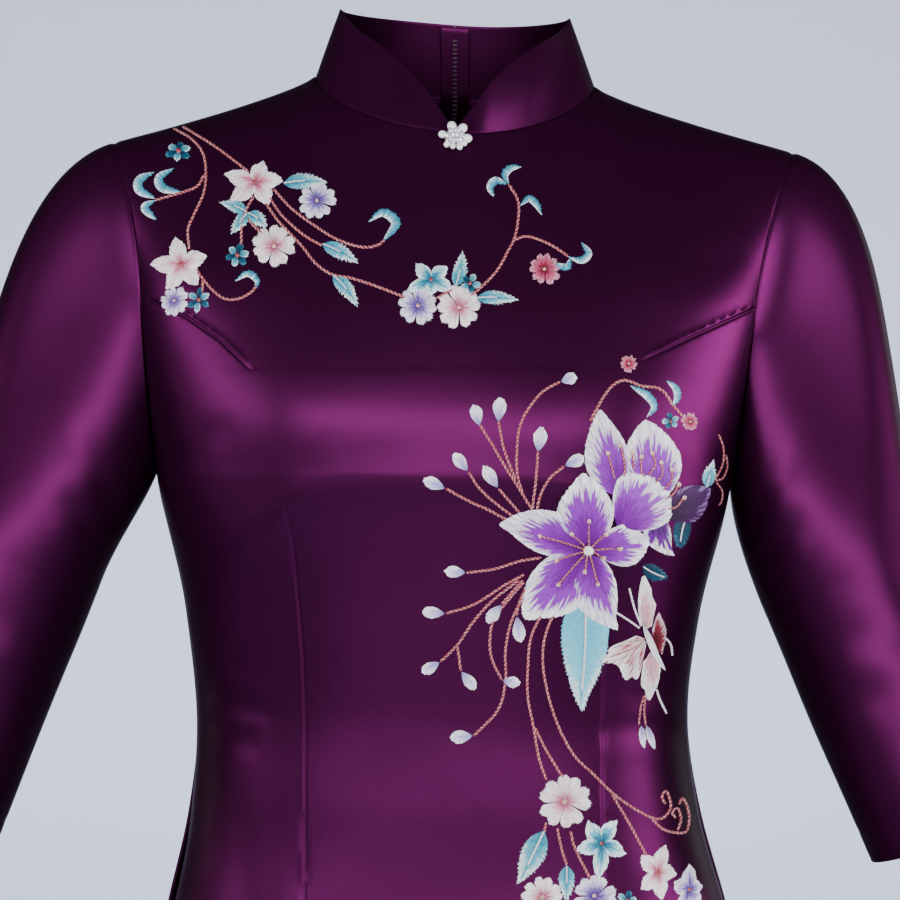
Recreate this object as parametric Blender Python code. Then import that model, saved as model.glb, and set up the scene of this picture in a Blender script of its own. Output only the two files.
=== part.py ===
"""A close-fitting satin cheongsam in the hollow shape it has when worn.

Metres, +Z up. The front of the dress faces -Y and the wearer's left is +X. The origin is midway between
the two points where the collar meets the shoulder seams: the wearer's shoulders carry the dress there.
"""
import math
from bisect import bisect_right
from collections import namedtuple

import bmesh
import bpy
from mathutils import Matrix, Vector

NAME = "cheongsam_dress"

# Cloth
WALL = 0.0015  # thickness of every cloth wall
SEAM = 0.0003  # gap between two pieces that are sewn together
STEP = 0.001  # step in a panel's own units, used to find its tangents

# Neck and shoulders
NECK_HALF = 0.078  # half width of the neck hole at the shoulder seams
NECK_FRONT = 0.064  # how far the neck hole reaches forward
NECK_BACK = 0.060  # and back
NECK_FRONT_DROP = 0.032  # how far the neck hole falls at centre front
NECK_BACK_DROP = 0.005  # and at centre back
NECK_BEND = 1.3  # above 1 the neck hole stays high at its sides and dips near the centre
SHOULDER_HALF = 0.190  # half width across the shoulder tips
SHOULDER_DROP = 0.0370  # how far the tips lie below the neck
SHOULDER_BEND = 0.8  # below 1 the seam falls faster beside the neck than at its tip

# Armholes and sleeves
UNDERARM = -0.222  # height where side seam, armhole and sleeve meet
ARMHOLE_MIDDLE = 0.5  # share of the way up the armhole where it reaches furthest forward and back
ARMHOLE_RISE = 0.100  # height of that place over the underarm
ARMHOLE_OUT = 0.0095  # how much further out it is than the underarm
ARMHOLE_FRONT = 0.045  # how far it reaches forward
ARMHOLE_BACK = 0.050  # and back
ARM_FORWARD = 0.45  # bend of the sleeve forward, in metres for each square metre of its length
SLEEVE_BLEND = 0.070  # length under the underarm in which the armhole's oval becomes a round sleeve
BLEND_SHARE = 0.5  # share of the sleeve's rows of cells that this length and the cap have
CAP_FULLNESS = 0.8  # how far the sleeve runs on in the shoulder's own direction before it falls
SLEEVE_LENGTH = 0.226  # from the underarm to the cuff
SLEEVE_TOP = (0.0525, 0.0560)  # half width and half depth of the sleeve at the underarm
SLEEVE_CUFF = (0.0445, 0.0475)  # and at the cuff

# Skirt
SLIT_TOP = -0.780  # height where the side slits start
SLIT_GAP = 0.012  # width of a slit at the hem

# How the worn dress stands: its left shoulder is a little lower, and its left arm hangs closer
TILT = 0.0030  # drop of the left shoulder, and rise of the right
TILT_REACH = 0.040  # distance from the middle in which the tilt builds up
TILT_LOW = -0.360  # height under which there is none
TILT_FULL = -0.240  # height over which it is whole
# angle is the sleeve's to the vertical, leave the angle at which it leaves the underarm, and inset how
# far it hangs inside the line that its armhole gives it.
Arm = namedtuple("Arm", "side angle leave inset")
LEFT_ARM = Arm("left", math.radians(20), math.radians(-3), 0.0095)
RIGHT_ARM = Arm("right", math.radians(20), math.radians(20), -0.0060)

# Collar
COLLAR_HALF = 0.0645  # half width of the collar's upper edge
COLLAR_FRONT = 0.047  # how far the upper edge would reach forward if it were not cut away
COLLAR_BACK = 0.049  # and how far it reaches back
COLLAR_SIDE_TOP = 0.038  # height of the upper edge at the sides
COLLAR_FRONT_TOP = 0.008  # height that it would have at centre front
COLLAR_BACK_TOP = 0.036  # height at centre back
NOTCH_ANGLE = math.radians(60)  # from centre front to where the cut-away edge reaches full height
NOTCH_POWER = 3.1  # how quickly the cut-away edge rises
NOTCH_LEAST = 0.10  # share of the collar's height that is left at centre front

# Brooch
BROOCH_TILT = math.radians(26)  # its face leans back with the chest
BROOCH_HEIGHT = -0.0368  # height of its middle
BROOCH_OUT = 0.0026  # from the cloth under it to the plate's middle
BROOCH_SEAT = 0.9900  # share of the way up centre front at which the cloth lies under it
PLATE_RADIUS = 0.0060
PLATE_THICK = 0.0016
BEAD_TURN = 0.31  # turn of each bead, so that no two beads' edges run along each other
BeadRing = namedtuple("BeadRing", "count turn reach bead lift")
BEAD_RINGS = (
    BeadRing(count=8, turn=0.20, reach=0.0066, bead=0.0024, lift=0.0008),
    BeadRing(count=6, turn=0.07, reach=0.0034, bead=0.0020, lift=0.0022),
    BeadRing(count=1, turn=0.13, reach=0.0000, bead=0.0022, lift=0.0032),
)

# Zip slider and pull at centre back, measured from the pin that the pull turns on
PIN_HEIGHT = 0.0290  # height of the pin, near the collar's upper edge
PIN_OFF_CLOTH = 0.0046  # from the collar's outer face to the pin's axis
PIN_RADIUS = 0.0005
EYE_RADIUS = 0.0015
EYE_CLEARANCE = 0.0003
EYE_HALF = 0.0010
POST_AT = 0.0019  # from the middle to the middle of each post
POST_WIDE = 0.0009
SLIDER_HALF = 0.0027
SLIDER_LENGTH = 0.0080
SLIDER_THICK = 0.0020
SLIDER_OFF_CLOTH = 0.0004
PULL_THICK = 0.0012
PULL_LENGTH = 0.0170
PULL_HALF = 0.0028  # half width of the pull before it widens toward its foot
PULL_WIDE, PULL_WIDEN = 0.72, 0.28  # share of that half width at mid length, and its change to each end

# Cells in each piece's mesh
FRONT_CELLS = (28, 36)
BACK_CELLS = (14, 36)
SLEEVE_CELLS = (24, 14)
COLLAR_CELLS = (16, 3)
TUBE_OUTER, TUBE_INNER = 1.0, 0.5  # radii of a sleeve's two layers before it is laid on its form
UPPER_SHARE = 1 / 3  # share of a panel's rows that lie above the underarm
WAIST_ROW = 20  # row of cells, from the hem, at which a panel is divided into its skirt and its bodice

# One row for each level of the body, lowest first. front and back are the distances from the side seams
# to centre front and centre back, and sway is how far the worn dress leans to the wearer's right.
Level = namedtuple("Level", "name height half_width front back sway")
LEVELS = (
    Level("hem", -1.040, 0.1500, 0.0980, 0.1000, 0.0000),
    Level("knee", -0.900, 0.1560, 0.1010, 0.1060, 0.0000),
    Level("thigh", -0.740, 0.1670, 0.1080, 0.1170, 0.0000),
    Level("hip", -0.572, 0.1735, 0.1140, 0.1230, 0.0027),
    Level("high_hip", -0.458, 0.1560, 0.1120, 0.1120, 0.0045),
    Level("belly", -0.407, 0.1434, 0.1085, 0.1010, 0.0059),
    Level("waist", -0.357, 0.1374, 0.1055, 0.0940, 0.0070),
    Level("under_bust", -0.297, 0.1434, 0.1130, 0.0960, 0.0067),
    Level("underarm", UNDERARM, 0.1605, 0.1265, 0.1040, 0.0062),
    Level("bust", -0.187, 0.1640, 0.1285, 0.1060, 0.0054),
    Level("chest", -0.137, 0.1640, 0.1160, 0.1050, 0.0040),
    Level("upper_chest", -0.082, 0.1640, 0.0895, 0.0940, 0.0024),
    Level("neck_front", -NECK_FRONT_DROP, 0.1640, NECK_FRONT, 0.0740, 0.0006),
    Level("neck_back", -NECK_BACK_DROP, 0.1640, NECK_FRONT, NECK_BACK, 0.0000),
)
HEIGHTS = [level.height for level in LEVELS]
HEM = HEIGHTS[0]

# The two bust cups that the darts shape
CUP_SIDE = 0.080  # from centre front
CUP_HEIGHT = -0.192
CUP_OUT = 0.005  # how far a cup stands out of the chest
CUP_WIDE = 0.050
CUP_TALL = 0.048

# What differs between the front and the back of the body
Half = namedtuple("Half", "way column neck_reach neck_drop armhole_reach fullness neck_tangent")
FRONT = Half(-1, "front", NECK_FRONT, NECK_FRONT_DROP, ARMHOLE_FRONT, 2.30, (0.046, 0.082))
BACK = Half(1, "back", NECK_BACK, NECK_BACK_DROP, ARMHOLE_BACK, 2.15, (0.050, 0.085))
NECK_SHARE = 8 / 14  # share of a half panel's top edge that lies on the neck hole
SIDE_NECK_TANGENT = Vector((-0.016, 0.078, 0.004))  # how a panel arrives at the shoulder seam at the neck
TIP_TANGENT = Vector((0.004, 0.090, 0.004))  # and at the shoulder tip


def column_at(column, height):
    """The value of one column of LEVELS at a height, on a smooth curve through the rows."""
    values = [getattr(level, column) for level in LEVELS]
    height = min(max(height, HEIGHTS[0]), HEIGHTS[-1])
    row = min(bisect_right(HEIGHTS, height), len(LEVELS) - 1) - 1

    def rate(a, b):
        return (values[b] - values[a]) / (HEIGHTS[b] - HEIGHTS[a])

    def slope(k):
        if k in (0, len(values) - 1):
            return rate(max(k - 1, 0), min(k + 1, len(values) - 1))
        before, after = HEIGHTS[k] - HEIGHTS[k - 1], HEIGHTS[k + 1] - HEIGHTS[k]
        return (rate(k - 1, k) * after + rate(k, k + 1) * before) / (before + after)

    gap = HEIGHTS[row + 1] - HEIGHTS[row]
    share = (height - HEIGHTS[row]) / gap
    start, end = slope(row) * gap, slope(row + 1) * gap
    return hermite(values[row], start, values[row + 1], end, share)


def hermite(start, start_tangent, end, end_tangent, share):
    """A cubic from start to end that leaves and arrives along the two tangents."""
    square, cube = share * share, share * share * share
    return (
        start * (2 * cube - 3 * square + 1)
        + start_tangent * (cube - 2 * square + share)
        + end * (3 * square - 2 * cube)
        + end_tangent * (cube - square)
    )


def posed(point):
    """A point moved as the worn dress leans and tilts at its height."""
    share = min(max((point.z - TILT_LOW) / (TILT_FULL - TILT_LOW), 0), 1)
    weight = share * share * (3 - 2 * share)
    tilt = TILT * weight * point.x / math.hypot(point.x, TILT_REACH)
    return point - Vector((column_at("sway", point.z), 0, tilt))


def ring(half, height, side, across):
    """A point on the body's round section: side is its outer end, across is 0 at the centre and 1 there."""
    depth = column_at(half.column, height)
    power = 2 / half.fullness
    last = math.acos(min(abs(side.y) / depth, 1) ** (1 / power))
    width = side.x / math.sin(last) ** power
    angle = last * across
    return Vector((
        width * math.sin(angle) ** power,
        half.way * depth * max(math.cos(angle), 0) ** power,
        height + (side.z - height) * across**2,
    ))


def armhole_side(half, up):
    """The armhole's lower half, from the underarm (up is 0) to where it reaches furthest out."""
    turn = math.pi / 2 * up / ARMHOLE_MIDDLE
    out = 1 - math.cos(turn)
    underarm_half = column_at("half_width", UNDERARM)
    return Vector((
        underarm_half + ARMHOLE_OUT * out,
        half.way * half.armhole_reach * math.sin(turn),
        UNDERARM + ARMHOLE_RISE * out,
    ))


def neck_point(half, angle):
    """The neck hole's edge. angle is 0 at the centre and a right angle at the shoulder seam."""
    return Vector((
        NECK_HALF * math.sin(angle),
        half.way * half.neck_reach * math.cos(angle),
        -half.neck_drop * max(math.cos(angle), 0) ** NECK_BEND,
    ))


def shoulder_point(out):
    """The shoulder seam, from the neck (out is 0) to the tip (1)."""
    return Vector((NECK_HALF + (SHOULDER_HALF - NECK_HALF) * out, 0, -SHOULDER_DROP * out**SHOULDER_BEND))


def top_edge(half, across):
    """A panel's top edge, on neck hole and then shoulder seam, and the way the panel arrives there."""
    inner, outer = half.neck_tangent
    centre = Vector((0, inner, outer))
    if across <= NECK_SHARE:
        share = across / NECK_SHARE
        point = neck_point(half, share * math.pi / 2)
        tangent = centre.lerp(SIDE_NECK_TANGENT, share * share)
    else:
        share = (across - NECK_SHARE) / (1 - NECK_SHARE)
        point = shoulder_point(share)
        tangent = SIDE_NECK_TANGENT.lerp(TIP_TANGENT, min(2 * share, 1))
    return point, Vector((tangent.x, -half.way * tangent.y, tangent.z))


def upper_body(half, across, up):
    """The body over the underarm (up is 0) to the neck hole and shoulder seam (1)."""
    def section(at):
        height = UNDERARM + (-half.neck_drop - UNDERARM) * at
        return ring(half, height, armhole_side(half, at), across)

    if up <= ARMHOLE_MIDDLE:
        return section(up)
    rest = 1 - ARMHOLE_MIDDLE
    start = section(ARMHOLE_MIDDLE)
    start_tangent = (start - section(ARMHOLE_MIDDLE - STEP)) * (rest / STEP)
    end, end_tangent = top_edge(half, across)
    return hermite(start, start_tangent, end, end_tangent, (up - ARMHOLE_MIDDLE) / rest)


def body(half, across, along):
    """A point on the body. across is -1 to 1 from side to side, along 0 at the hem, 1 at the top."""
    lower_share = 1 - UPPER_SHARE
    if along <= lower_share:
        height = HEM + (UNDERARM - HEM) * along / lower_share
        side = Vector((column_at("half_width", height), 0, height))
        point = ring(half, height, side, abs(across))
    else:
        point = upper_body(half, abs(across), (along - lower_share) / UPPER_SHARE)
    if half is FRONT:
        aside = (abs(point.x) - CUP_SIDE) / CUP_WIDE
        over = (point.z - CUP_HEIGHT) / CUP_TALL
        point.y -= CUP_OUT * math.exp(-aside * aside - over * over) * (1 - abs(across) ** 4)
    point.x = math.copysign(point.x, across) if across else 0.0
    return point


def armhole(angle):
    """The wearer's left armhole: angle 0 is the underarm, then come its front, the tip and its back."""
    angle %= 2 * math.pi
    half = FRONT if angle <= math.pi else BACK
    return upper_body(half, 1.0, min(angle, 2 * math.pi - angle) / math.pi)


def down_at(angle):
    """The way down and outward at an angle to the vertical."""
    return Vector((math.sin(angle), 0, -math.cos(angle)))


def sleeve_ring(arm, angle, down):
    """The sleeve's round section at a distance below the underarm, measured along the arm."""
    out = down_at(arm.angle + math.pi / 2)
    share = down / SLEEVE_LENGTH
    half_width = SLEEVE_TOP[0] + (SLEEVE_CUFF[0] - SLEEVE_TOP[0]) * share
    half_depth = SLEEVE_TOP[1] + (SLEEVE_CUFF[1] - SLEEVE_TOP[1]) * share
    middle = armhole(0) + down_at(arm.angle) * down + out * (SLEEVE_TOP[0] - arm.inset)
    middle.y -= ARM_FORWARD * down**2
    return middle - out * half_width * math.cos(angle) - Vector((0, half_depth * math.sin(angle), 0))


def sleeve(arm, around, along):
    """A sleeve, on the left. around runs from the underarm over the front, along from armhole to cuff."""
    angle = 2 * math.pi * around
    if along >= BLEND_SHARE:
        share = (along - BLEND_SHARE) / (1 - BLEND_SHARE)
        return sleeve_ring(arm, angle, SLEEVE_BLEND + (SLEEVE_LENGTH - SLEEVE_BLEND) * share)
    start, end = armhole(angle), sleeve_ring(arm, angle, SLEEVE_BLEND)
    half = FRONT if around <= 0.5 else BACK
    up = min(around, 1 - around) * 2
    outward = (upper_body(half, 1.0, up) - upper_body(half, 1.0 - STEP, up)).normalized()
    leave = down_at(arm.leave).lerp(outward, ((1 - math.cos(angle)) / 2) ** 2).normalized()
    length = (end - start).length
    return hermite(
        start, leave * length * CAP_FULLNESS, end, down_at(arm.angle) * length, along / BLEND_SHARE
    )


def collar_height(angle):
    """The share of the collar's full height that stands at an angle from centre front."""
    return max(1 - (1 - min(angle / NOTCH_ANGLE, 1)) ** NOTCH_POWER, NOTCH_LEAST)


def collar(around, up):
    """The left half of the collar. around is 0 at centre front and 1 at centre back, up 0 at its seam."""
    angle = math.pi * around
    half = FRONT if angle <= math.pi / 2 else BACK
    turn = min(angle, math.pi - angle)
    base = neck_point(half, turn)
    reach = COLLAR_FRONT if half is FRONT else COLLAR_BACK
    centre_top = COLLAR_FRONT_TOP if half is FRONT else COLLAR_BACK_TOP
    bend = max(math.cos(turn), 0) ** NECK_BEND
    top = Vector((
        COLLAR_HALF * math.sin(turn),
        half.way * reach * math.cos(turn),
        COLLAR_SIDE_TOP + (centre_top - COLLAR_SIDE_TOP) * bend,
    ))
    return base.lerp(top, up * collar_height(angle))


def open_slab(cells):
    """A flat slab of cells, closed all round. Its corners' x, y and z are 0 to 1."""
    slab = bmesh.new()
    bmesh.ops.create_grid(slab, x_segments=cells[0], y_segments=cells[1], size=0.5)
    bmesh.ops.translate(slab, verts=slab.verts, vec=(0.5, 0.5, 0))
    made = bmesh.ops.extrude_face_region(slab, geom=slab.faces[:], use_keep_orig=True)["geom"]
    bmesh.ops.translate(slab, verts=[v for v in made if isinstance(v, bmesh.types.BMVert)], vec=(0, 0, 1))
    bmesh.ops.recalc_face_normals(slab, faces=slab.faces)
    return slab


def round_slab(cells):
    """A tube of cells, closed on itself and at both ends. Its corners' x, y and z are 0 to 1."""
    tube = bmesh.new()
    layers = (TUBE_OUTER, TUBE_INNER)
    rim = [tube.verts.new((radius, 0, row / cells[1])) for radius in layers for row in range(cells[1] + 1)]
    outer, inner = rim[: cells[1] + 1], rim[cells[1] + 1:]
    loop = outer + inner[::-1]
    edges = [tube.edges.new((loop[k - 1], loop[k])) for k in range(len(loop))]
    bmesh.ops.spin(
        tube, geom=loop + edges, cent=(0, 0, 0), axis=(0, 0, 1), angle=2 * math.pi, steps=cells[0],
        use_merge=True,
    )
    bmesh.ops.recalc_face_normals(tube, faces=tube.faces)
    for corner in tube.verts:
        around = -math.atan2(corner.co.y, corner.co.x) / (2 * math.pi) % 1
        around = round(around * cells[0]) / cells[0] % 1
        layer = 0 if corner.co.xy.length > (TUBE_OUTER + TUBE_INNER) / 2 else 1
        corner.co = (around, round(corner.co.z * cells[1]) / cells[1], layer)
    return tube


def shape(slab, surface, tuck, closed=False):
    """Lay a slab on a surface, its second layer one wall inside, with its edges tucked back at the seams.

    tuck(u, v, point) gives the tucks of the edges at u = 0, u = 1, v = 0 and v = 1.
    """
    def limit(value, wraps):
        return value if wraps else min(max(value, 0), 1)

    for corner in slab.verts:
        u, v, layer = corner.co
        point = surface(u, v)
        side_low, side_high = limit(u - STEP, closed), limit(u + STEP, closed)
        low, high = limit(v - STEP, False), limit(v + STEP, False)
        along_u = surface(side_high, v) - surface(side_low, v)
        along_v = surface(u, high) - surface(u, low)
        inward = along_u.cross(along_v).normalized()
        tucks = tuck(u, v, point)
        moved = point.copy()
        if not closed and u in (0, 1):
            moved += (along_u if u == 0 else -along_u).normalized() * tucks[int(u)]
        if v in (0, 1):
            moved += (along_v if v == 0 else -along_v).normalized() * tucks[2 + int(v)]
        corner.co = moved + inward * WALL * layer


def sewn(u, v, point):
    """Every edge is tucked back by half a seam's gap."""
    return (SEAM / 2,) * 4


def slit_tuck(point):
    """How far a panel's side edge stands back from the seam's line, which opens below the slit's top."""
    below = max(SLIT_TOP - point.z, 0) / (SLIT_TOP - HEM)
    return SEAM / 2 + SLIT_GAP / 2 * below**1.5


def front_tuck(u, v, point):
    """The front's side edges open at the slits, and its hem and top are tucked back like a seam."""
    side = slit_tuck(point)
    return side, side, SEAM / 2, SEAM / 2


def back_tuck(u, v, point):
    """A half of the back is tucked back like a seam at the zip, and opens at the slit."""
    return SEAM / 2, slit_tuck(point), SEAM / 2, SEAM / 2


def finish_mesh(cells, mirrored=False):
    """Mirror the piece where it is the other side's, and lean it as the worn dress leans."""
    if mirrored:
        bmesh.ops.scale(cells, verts=cells.verts, vec=(-1, 1, 1))
        bmesh.ops.reverse_faces(cells, faces=cells.faces)
    for corner in cells.verts:
        corner.co = posed(corner.co)


def add_object(name, cells, material):
    """A new object from a bmesh, in the dress's collection."""
    mesh = bpy.data.meshes.new(name)
    cells.to_mesh(mesh)
    cells.free()
    mesh.materials.append(material)
    mesh.shade_smooth()
    mesh.set_sharp_from_angle(angle=math.radians(40))
    made = bpy.data.objects.new(name, mesh)
    parts.objects.link(made)
    return made


def make_material(name, colour, roughness, metallic=0.0):
    """A Principled material of one colour."""
    material = bpy.data.materials.new(name)
    material.use_nodes = True
    shader = material.node_tree.nodes["Principled BSDF"]
    shader.inputs["Base Color"].default_value = (*colour, 1)
    shader.inputs["Roughness"].default_value = roughness
    shader.inputs["Metallic"].default_value = metallic
    return material


def make_front(name, rows, satin):
    """The front between two of its rows of cells, one piece from side seam to side seam."""
    columns, all_rows = FRONT_CELLS
    low, high = rows[0] / all_rows, rows[1] / all_rows
    cloth = open_slab((columns, rows[1] - rows[0]))
    shape(cloth, lambda u, v: body(FRONT, 1 - 2 * u, low + (high - low) * v), front_tuck)
    finish_mesh(cloth)
    return add_object(name, cloth, satin)


def make_back(name, rows, mirrored, satin):
    """Half of the back between two of its rows of cells, from the zip at centre back to the side seam."""
    columns, all_rows = BACK_CELLS
    low, high = rows[0] / all_rows, rows[1] / all_rows
    cloth = open_slab((columns, rows[1] - rows[0]))
    shape(cloth, lambda u, v: body(BACK, u, low + (high - low) * v), back_tuck)
    finish_mesh(cloth, mirrored)
    return add_object(name, cloth, satin)


def make_sleeve(arm, satin):
    """A set-in sleeve that ends between elbow and wrist."""
    cloth = round_slab(SLEEVE_CELLS)
    shape(cloth, lambda u, v: sleeve(arm, u, v), sewn, closed=True)
    finish_mesh(cloth, arm is RIGHT_ARM)
    return add_object("sleeve_" + arm.side, cloth, satin)


def make_collar(name, mirrored, satin):
    """Half of the stand collar, cut away in a curve at centre front."""
    cloth = open_slab(COLLAR_CELLS)
    shape(cloth, lambda u, v: collar(1 - u, v), sewn)
    finish_mesh(cloth, mirrored)
    return add_object(name, cloth, satin)


def joined(name, pieces, material):
    """Unite solids into the first of them and remove the others."""
    base = pieces[0]
    for piece in pieces[1:]:
        union = base.modifiers.new("union", "BOOLEAN")
        union.operation = "UNION"
        union.object = piece
    bpy.context.view_layer.update()
    mesh = bpy.data.meshes.new_from_object(base.evaluated_get(bpy.context.evaluated_depsgraph_get()))
    for piece in pieces:
        bpy.data.objects.remove(piece)
    mesh.name = name
    mesh.materials.clear()
    mesh.materials.append(material)
    mesh.shade_smooth()
    mesh.set_sharp_from_angle(angle=math.radians(40))
    made = bpy.data.objects.new(name, mesh)
    parts.objects.link(made)
    return made


def solid(cells, place):
    """A working solid from a bmesh, at a placement."""
    bmesh.ops.transform(cells, matrix=place, verts=cells.verts)
    mesh = bpy.data.meshes.new("solid")
    cells.to_mesh(mesh)
    cells.free()
    made = bpy.data.objects.new("solid", mesh)
    parts.objects.link(made)
    return made


def block(size, middle, place):
    """A box of a size, with its middle at a point of the placement's own axes."""
    cells = bmesh.new()
    bmesh.ops.create_cube(cells, size=1, matrix=Matrix.Translation(middle) @ Matrix.Diagonal((*size, 1)))
    return solid(cells, place)


def rod(radius, length, middle, place, sides=16):
    """A cylinder along the placement's own X."""
    cells = bmesh.new()
    turn = Matrix.Rotation(math.pi / 2, 4, "Y")
    bmesh.ops.create_cone(
        cells, cap_ends=True, segments=sides, radius1=radius, radius2=radius, depth=length,
        matrix=Matrix.Translation(middle) @ turn,
    )
    return solid(cells, place)


def make_brooch(pearl):
    """A flower of pearls on a small round plate, under the point where the collar's halves meet.

    It is put together in its own axes, X across, Y up and Z off the cloth, and then moved to its seat.
    """
    own = Matrix.Identity(4)
    cells = bmesh.new()
    bmesh.ops.create_cone(
        cells, cap_ends=True, segments=24, radius1=PLATE_RADIUS, radius2=PLATE_RADIUS, depth=PLATE_THICK
    )
    pieces = [solid(cells, own)]
    for beads in BEAD_RINGS:
        for k in range(beads.count):
            angle = beads.turn + 2 * math.pi * k / beads.count
            at = Vector((beads.reach * math.cos(angle), beads.reach * math.sin(angle), beads.lift))
            turned = Matrix.Translation(at) @ Matrix.Rotation(angle + BEAD_TURN, 4, "Z")
            cells = bmesh.new()
            bmesh.ops.create_icosphere(cells, subdivisions=2, radius=beads.bead, matrix=turned)
            pieces.append(solid(cells, own))
    made = joined("brooch", pieces, pearl)
    seat = body(FRONT, 0, BROOCH_SEAT)
    face = Vector((0, -math.cos(BROOCH_TILT), math.sin(BROOCH_TILT)))
    up = Vector((0, math.sin(BROOCH_TILT), math.cos(BROOCH_TILT)))
    side = up.cross(face)
    middle = Vector((0, seat.y, BROOCH_HEIGHT)) + face * BROOCH_OUT
    made.data.transform(Matrix.Translation(middle) @ Matrix((side, up, face)).transposed().to_4x4())
    return made


def zip_place():
    """The pin's place: X along the pin, Z up along the collar, and Y off the cloth."""
    share = (PIN_HEIGHT + NECK_BACK_DROP) / (COLLAR_BACK_TOP + NECK_BACK_DROP)
    foot, top = collar(1, 0), collar(1, 1)
    up = (top - foot).normalized()
    off = Vector((0, up.z, -up.y))
    middle = foot.lerp(top, share) + off * PIN_OFF_CLOTH
    return Matrix.Translation(middle) @ Matrix((Vector((1, 0, 0)), off, up)).transposed().to_4x4()


def make_slider(metal):
    """The slider on the back of the collar, with two posts that hold the pull's pin."""
    place = zip_place()
    low = -PIN_OFF_CLOTH + SLIDER_OFF_CLOTH
    pieces = [block(
        (2 * SLIDER_HALF, SLIDER_THICK, SLIDER_LENGTH),
        (0, low + SLIDER_THICK / 2, -SLIDER_LENGTH / 2 + 2 * EYE_RADIUS),
        place,
    )]
    post_foot = low + SLIDER_THICK / 2
    post_top = 2 * PIN_RADIUS
    for side in (-1, 1):
        pieces.append(block(
            (POST_WIDE, post_top - post_foot, 4 * PIN_RADIUS),
            (side * POST_AT, (post_top + post_foot) / 2, 0),
            place,
        ))
    pieces.append(rod(PIN_RADIUS, 2 * POST_AT, (0, 0, 0), place))
    return joined("zip_slider", pieces, metal)


def make_pull(metal):
    """The pull tab: an eye round the pin and a flat drop that hangs along the collar."""
    place = zip_place()
    cells = bmesh.new()
    bmesh.ops.create_circle(cells, cap_ends=True, segments=24, radius=1)
    for corner in cells.verts:
        level = (corner.co.y + 1) / 2
        wide = math.sqrt(max(1 - corner.co.y**2, 0)) * (PULL_WIDE - PULL_WIDEN * corner.co.y)
        side = math.copysign(1, corner.co.x) if abs(corner.co.x) > 1e-6 else 0
        corner.co = (side * wide * PULL_HALF, -PULL_THICK / 2, -PULL_LENGTH * (1 - level))
    made = bmesh.ops.extrude_face_region(cells, geom=cells.faces[:], use_keep_orig=True)["geom"]
    lifted = [v for v in made if isinstance(v, bmesh.types.BMVert)]
    bmesh.ops.translate(cells, verts=lifted, vec=(0, PULL_THICK, 0))
    bmesh.ops.recalc_face_normals(cells, faces=cells.faces)
    drop = solid(cells, place)
    eye = rod(EYE_RADIUS, 2 * EYE_HALF, (0, 0, 0), place)
    tab = joined("zip_pull", [drop, eye], metal)
    hole = rod(PIN_RADIUS + EYE_CLEARANCE, 8 * EYE_HALF, (0, 0, 0), place)
    cut = tab.modifiers.new("hole", "BOOLEAN")
    cut.operation = "DIFFERENCE"
    cut.object = hole
    parts.objects.unlink(hole)
    cutters.objects.link(hole)
    hole.name = "pin_hole"
    hole.hide_render = True
    hole.display_type = "WIRE"
    return tab


for old in list(bpy.data.objects):
    bpy.data.objects.remove(old)
parts = bpy.data.collections.new(NAME)
cutters = bpy.data.collections.new("cutters")
for group in (parts, cutters):
    bpy.context.scene.collection.children.link(group)

satin = make_material("purple_satin", (0.085, 0.016, 0.075), 0.38)
pearl = make_material("pearl", (0.86, 0.84, 0.80), 0.22)
metal = make_material("zip_metal", (0.16, 0.05, 0.14), 0.30, 0.6)

skirt_rows, bodice_rows = (0, WAIST_ROW), (WAIST_ROW, FRONT_CELLS[1])
make_front("front_skirt", skirt_rows, satin)
make_front("front_bodice", bodice_rows, satin)
for arm in (LEFT_ARM, RIGHT_ARM):
    is_right = arm is RIGHT_ARM
    make_back(f"back_{arm.side}_skirt", skirt_rows, is_right, satin)
    make_back(f"back_{arm.side}_bodice", bodice_rows, is_right, satin)
    make_sleeve(arm, satin)
    make_collar("collar_" + arm.side, is_right, satin)
make_brooch(pearl)
make_slider(metal)
make_pull(metal)
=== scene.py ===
"""The looks of a worn satin cheongsam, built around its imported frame.

Metres, +Z up. The front faces -Y, the wearer's left is +X, and the origin is midway between the points
where the collar meets the shoulder seams. Places on the cloth are in millimetres, across and up.
"""

import logging
import math
import random
from bisect import bisect_right
from dataclasses import dataclass
from enum import Enum
from typing import Any, Callable, Sequence

import bmesh
import bpy
from mathutils import Matrix, Vector, noise
from mathutils.bvhtree import BVHTree


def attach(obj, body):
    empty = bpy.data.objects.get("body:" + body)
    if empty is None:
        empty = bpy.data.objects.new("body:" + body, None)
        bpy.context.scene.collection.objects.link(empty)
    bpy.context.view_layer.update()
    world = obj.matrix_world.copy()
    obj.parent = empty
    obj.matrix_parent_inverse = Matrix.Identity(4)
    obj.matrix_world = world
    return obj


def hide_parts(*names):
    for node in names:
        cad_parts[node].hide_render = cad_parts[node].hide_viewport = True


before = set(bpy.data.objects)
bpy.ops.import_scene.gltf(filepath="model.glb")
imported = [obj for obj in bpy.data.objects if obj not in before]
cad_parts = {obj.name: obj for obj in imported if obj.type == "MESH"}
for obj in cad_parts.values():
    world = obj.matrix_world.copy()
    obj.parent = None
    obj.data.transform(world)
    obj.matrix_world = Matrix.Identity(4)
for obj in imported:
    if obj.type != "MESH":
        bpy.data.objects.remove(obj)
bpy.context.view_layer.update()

LOG = logging.getLogger("cheongsam")
MM = 0.001
DRESS = "dress"
PULL = "zip_pull"

Place = tuple[float, float]
Path = Sequence[Place]
Surface = Callable[[float, float], Vector]
Relief = Callable[[Vector, Vector], float]
EVEN = ((0, 0), (1, 1))


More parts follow.
